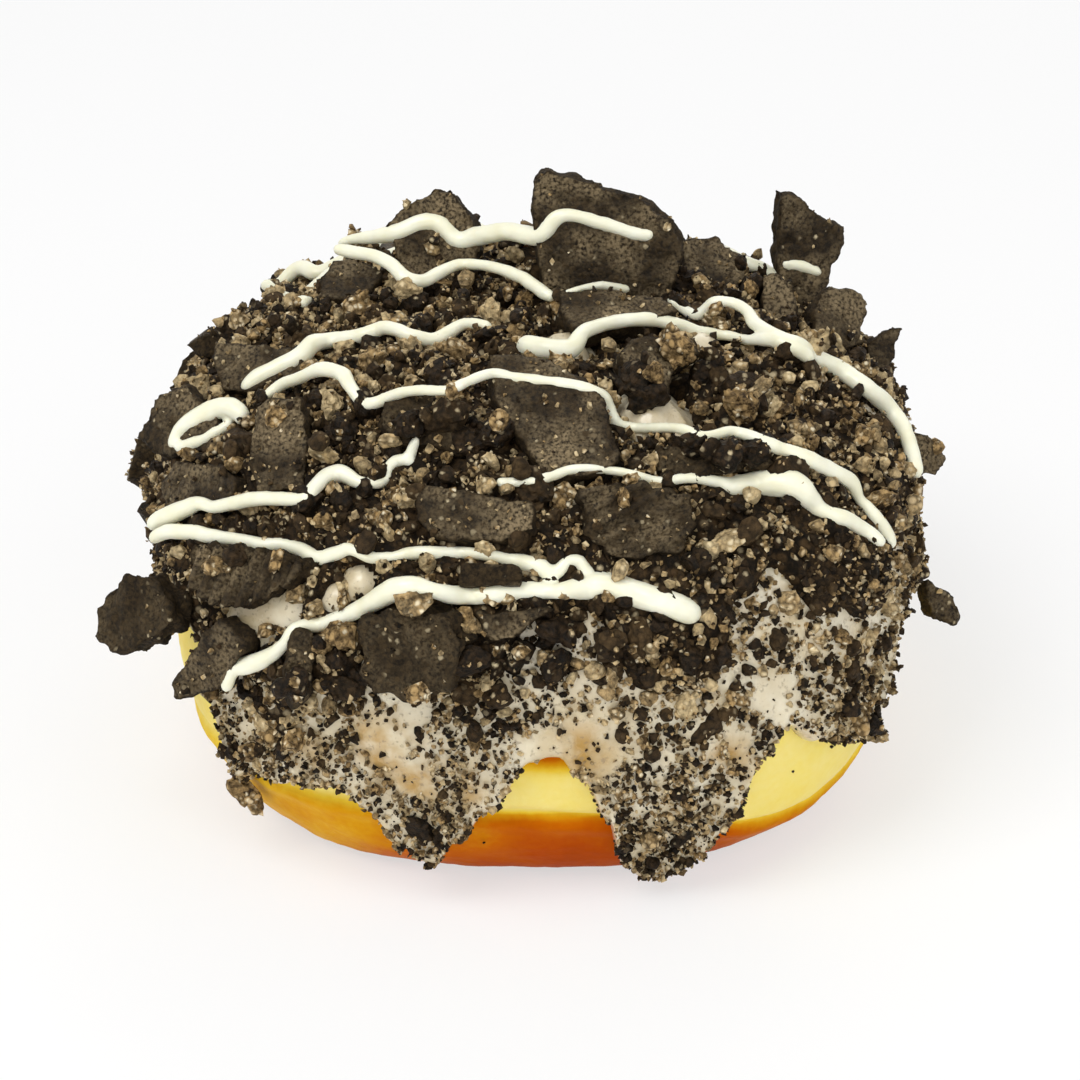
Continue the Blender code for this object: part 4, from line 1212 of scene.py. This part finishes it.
backStrands = [
    [(-38, 2, 1.4), (-28, 7, 1.8), (-20, 5, 1.5), (-10, 8, 2.0), (0, 6, 1.4), (10, 9, 1.8), (20, 7, 1.5),
     (30, 8, 2.1), (38, 3, 1.4)],
    [(-40, -6, 1.5), (-30, -3, 1.7), (-18, -5, 1.4), (-6, -2, 2.1), (6, -4, 1.5), (18, -1, 1.7),
     (28, -4, 1.4), (40, -7, 1.8)],
    [(-35, 9, 1.5), (-22, 13, 1.9), (-10, 11.5, 1.4), (4, 13.5, 1.6), (16, 12, 2.0), (27, 13, 1.4),
     (35, 9, 1.3)],
    [(-36, -14, 1.4), (-26, -12, 1.8), (-14, -13, 2.2), (-3, -10, 1.5), (9, -12, 1.7), (20, -10, 2.4)],
]
drizzleSettings = {"step": 0.4, "voxel": 0.30, "sunk": 0.26, "slope": 0.9, "softness": 0.9, "sides": 3}


def smoothRoute(points, step):
    # evenly spaced points on a smooth curve through the given ones
    given = np.array(points, float)
    padded = np.vstack([2 * given[0] - given[1], given, 2 * given[-1] - given[-2]])
    route = []
    for index in range(1, len(padded) - 2):
        a, b, c, d = padded[index - 1:index + 3]
        count = max(2, int(np.linalg.norm((c - b)[:2]) / step))
        for share in np.arange(count) / count:
            square = share * share
            cube = square * share
            route.append(0.5 * (2 * b + (c - a) * share + (2 * a - 5 * b + 4 * c - d) * square
                                + (3 * b - a - 3 * c + d) * cube))
    route.append(given[-1])
    return np.array(route)


def softened(values, width):
    reach = int(math.ceil(width * 3))
    weights = np.exp(-0.5 * (np.arange(-reach, reach + 1) / width) ** 2)
    padded = np.pad(values, reach, mode="edge")
    return np.convolve(padded, weights / weights.sum(), mode="valid")


def lieStrand(look, strand, turn, surface):
    # casts a strand from the viewpoint onto the heap; returns points and widths
    route = smoothRoute(strand, look["step"])
    sine = math.sin(turn)
    cosine = math.cos(turn)
    spin = np.array([[cosine, -sine, 0], [sine, cosine, 0], [0, 0, 1]])
    start = spin @ np.array([0.0, -viewpoint["back"], viewpoint["height"]])
    aim = np.array([0.0, 0.0, viewpoint["aim"]])
    ahead = (aim - start) / np.linalg.norm(aim - start)
    right = spin @ np.array([1.0, 0.0, 0.0])
    up = np.cross(right, ahead)
    targets = aim + route[:, :1] * right + route[:, 1:2] * up
    ways = targets - start
    ways /= np.linalg.norm(ways, axis=1)[:, None]
    depths = []
    for way in ways:
        hit = surface.cast(start, way, castReach)
        depths.append(hit[3] if hit else math.nan)
    depths = np.array(depths)
    found = np.nonzero(~np.isnan(depths))[0]
    depths = np.interp(np.arange(len(depths)), found, depths[found])
    steps = np.abs(np.subtract.outer(np.arange(len(depths)), np.arange(len(depths)))) * look["step"]
    nearest = (depths[None, :] + look["slope"] * steps).min(axis=1)
    nearest = softened(nearest, look["softness"] / look["step"])
    widths = np.clip(route[:, 2], 0.5, 4.0)
    widths = softened(widths, 1.5)
    return start + ways * (nearest + widths * look["sunk"])[:, None], widths


def strandMesh(look, places, widths):
    curve = bpy.data.curves.new("strand", "CURVE")
    curve.dimensions = "3D"
    curve.bevel_depth = 1.0
    curve.bevel_resolution = look["sides"]
    curve.use_fill_caps = True
    spline = curve.splines.new("POLY")
    spline.points.add(len(places) - 1)
    count = len(places)
    for index, (point, place, width) in enumerate(zip(spline.points, places, widths)):
        ends = min(index, count - 1 - index) * look["step"] / (width / 2)
        point.co = (*(place * mm), 1.0)
        point.radius = width / 2 * mm * math.sqrt(max(0.1, 1 - (1 - min(1.0, ends)) ** 2))
    return appliedMesh(addObject("strand", curve))


def makeDrizzle(look):
    surface = Surface(layers)
    shape = bmesh.new()
    routes = []
    widthsSoFar = []
    strands = [(strand, 0.0) for strand in frontStrands] + [(strand, math.pi) for strand in backStrands]
    for strand, turn in strands:
        places, widths = lieStrand(look, strand, turn, surface)
        shape.from_mesh(strandMesh(look, places, widths))
        routes += list(places)
        widthsSoFar += list(widths)
    joined = bpy.data.meshes.new("drizzle")
    shape.to_mesh(joined)
    shape.free()
    mesh = remeshed("drizzle", joined, look["voxel"])
    points = readPoints(mesh) / mm
    points += readNormals(mesh) * (0.10 * ripple(points, 1.6, 2.0))[:, None]
    writePoints(mesh, points * mm)
    laid = KDTree(len(routes))
    for index, place in enumerate(routes):
        laid.insert(place, index)
    laid.balance()
    addPiece("drizzle", mesh, paleDrizzle)
    return laid, widthsSoFar


drizzleRoutes, drizzleWidths = makeDrizzle(drizzleSettings)
print("drizzle made")


# Finer crumbs come after the drizzle and keep off it.

darkCrumbs = layCrumbs("darkCrumbs", crumbLook, grainShapes, 21, darkBiscuit, looseChips)
tanCrumbs = layCrumbs("tanCrumbs", crumbTanLook, grainShapes, 22, tanBiscuit)
addLayer(darkCrumbs.data, "crumb")
addLayer(tanCrumbs.data, "crumb")
layCrumbs("smallDarkCrumbs", smallLook, smallShapes, 23, darkBiscuit)
layCrumbs("smallTanCrumbs", smallTanLook, smallShapes, 24, tanBiscuit)
layCrumbs("biscuitDust", dustLook, dustShapes, 25, darkBiscuit)
layCrumbs("creamDust", creamLook, dustShapes, 26, tanBiscuit)


def seenDirectly(tree):
    # 1 for the rays that look at a surface or its reflection, 0 for those that light others
    rays = addNode(tree, "ShaderNodeLightPath")
    seen = mathNode(tree, "MAXIMUM", rays.outputs["Is Camera Ray"], rays.outputs["Is Glossy Ray"])
    return mathNode(tree, "MAXIMUM", seen, rays.outputs["Is Transmission Ray"])


def makeStage():
    shape = bmesh.new()
    bmesh.ops.create_grid(shape, x_segments=8, y_segments=8, size=3.0)
    mesh = bpy.data.meshes.new("floor")
    shape.to_mesh(mesh)
    shape.free()
    floor = addObject("floor", mesh)
    material = bpy.data.materials.new("paleFloor")
    material.use_nodes = True
    tree = material.node_tree
    shader = tree.nodes["Principled BSDF"]
    shader.inputs["Base Color"].default_value = (0.93, 0.93, 0.93, 1.0)
    shader.inputs["Roughness"].default_value = 0.9
    seen = seenDirectly(tree)
    white = addNode(tree, "ShaderNodeEmission", {"Color": (1.0, 1.0, 1.0, 1.0), "Strength": 1.0})
    share = mathNode(tree, "MULTIPLY", seen, 0.6)
    mix = addNode(tree, "ShaderNodeMixShader", {0: share, 1: shader.outputs[0], 2: white.outputs[0]})
    tree.links.new(mix.outputs[0], tree.nodes["Material Output"].inputs["Surface"])
    mesh.materials.append(material)


def makeWorld():
    world = bpy.data.worlds.new("studio")
    bpy.context.scene.world = world
    world.use_nodes = True
    tree = world.node_tree
    seen = seenDirectly(tree)
    background = tree.nodes["Background"]
    background.inputs["Color"].default_value = (1.0, 1.0, 1.0, 1.0)
    tree.links.new(spread(tree, seen, 0.0, 1.0, 0.46, 1.0), background.inputs["Strength"])


lamps = [
    ("keyLamp", (-0.28, -0.30, 0.62), 0.40, 3.0),
    ("fillLamp", (0.45, -0.35, 0.40), 0.50, 0.9),
    ("backLamp", (0.15, 0.55, 0.50), 0.50, 1.0),
    ("lowLamp", (0.0, -0.70, 0.12), 0.50, 0.9),
]


def makeLamps():
    aim = Vector((0, 0, 0.03))
    for name, place, size, power in lamps:
        lamp = bpy.data.lights.new(name, "AREA")
        lamp.size = size
        lamp.energy = power
        holder = addObject(name, lamp)
        holder.location = place
        holder.rotation_euler = (aim - Vector(place)).to_track_quat("-Z", "Y").to_euler()


def makeCamera():
    camera = addObject("camera", bpy.data.cameras.new("camera"))
    place = Vector((0.0, -viewpoint["back"] * mm, viewpoint["height"] * mm))
    aim = Vector((0.0, 0.0, viewpoint["aim"] * mm))
    camera.location = place
    camera.rotation_euler = (aim - place).to_track_quat("-Z", "Y").to_euler()
    camera.data.lens = 105.8
    camera.data.sensor_width = 36.0
    camera.data.shift_x = 0.00185
    camera.data.shift_y = -0.0111
    camera.data.clip_start = 0.01
    bpy.context.scene.camera = camera


makeStage()
makeWorld()
makeLamps()
makeCamera()
bpy.context.scene.view_settings.view_transform = "Standard"
print("stage made")
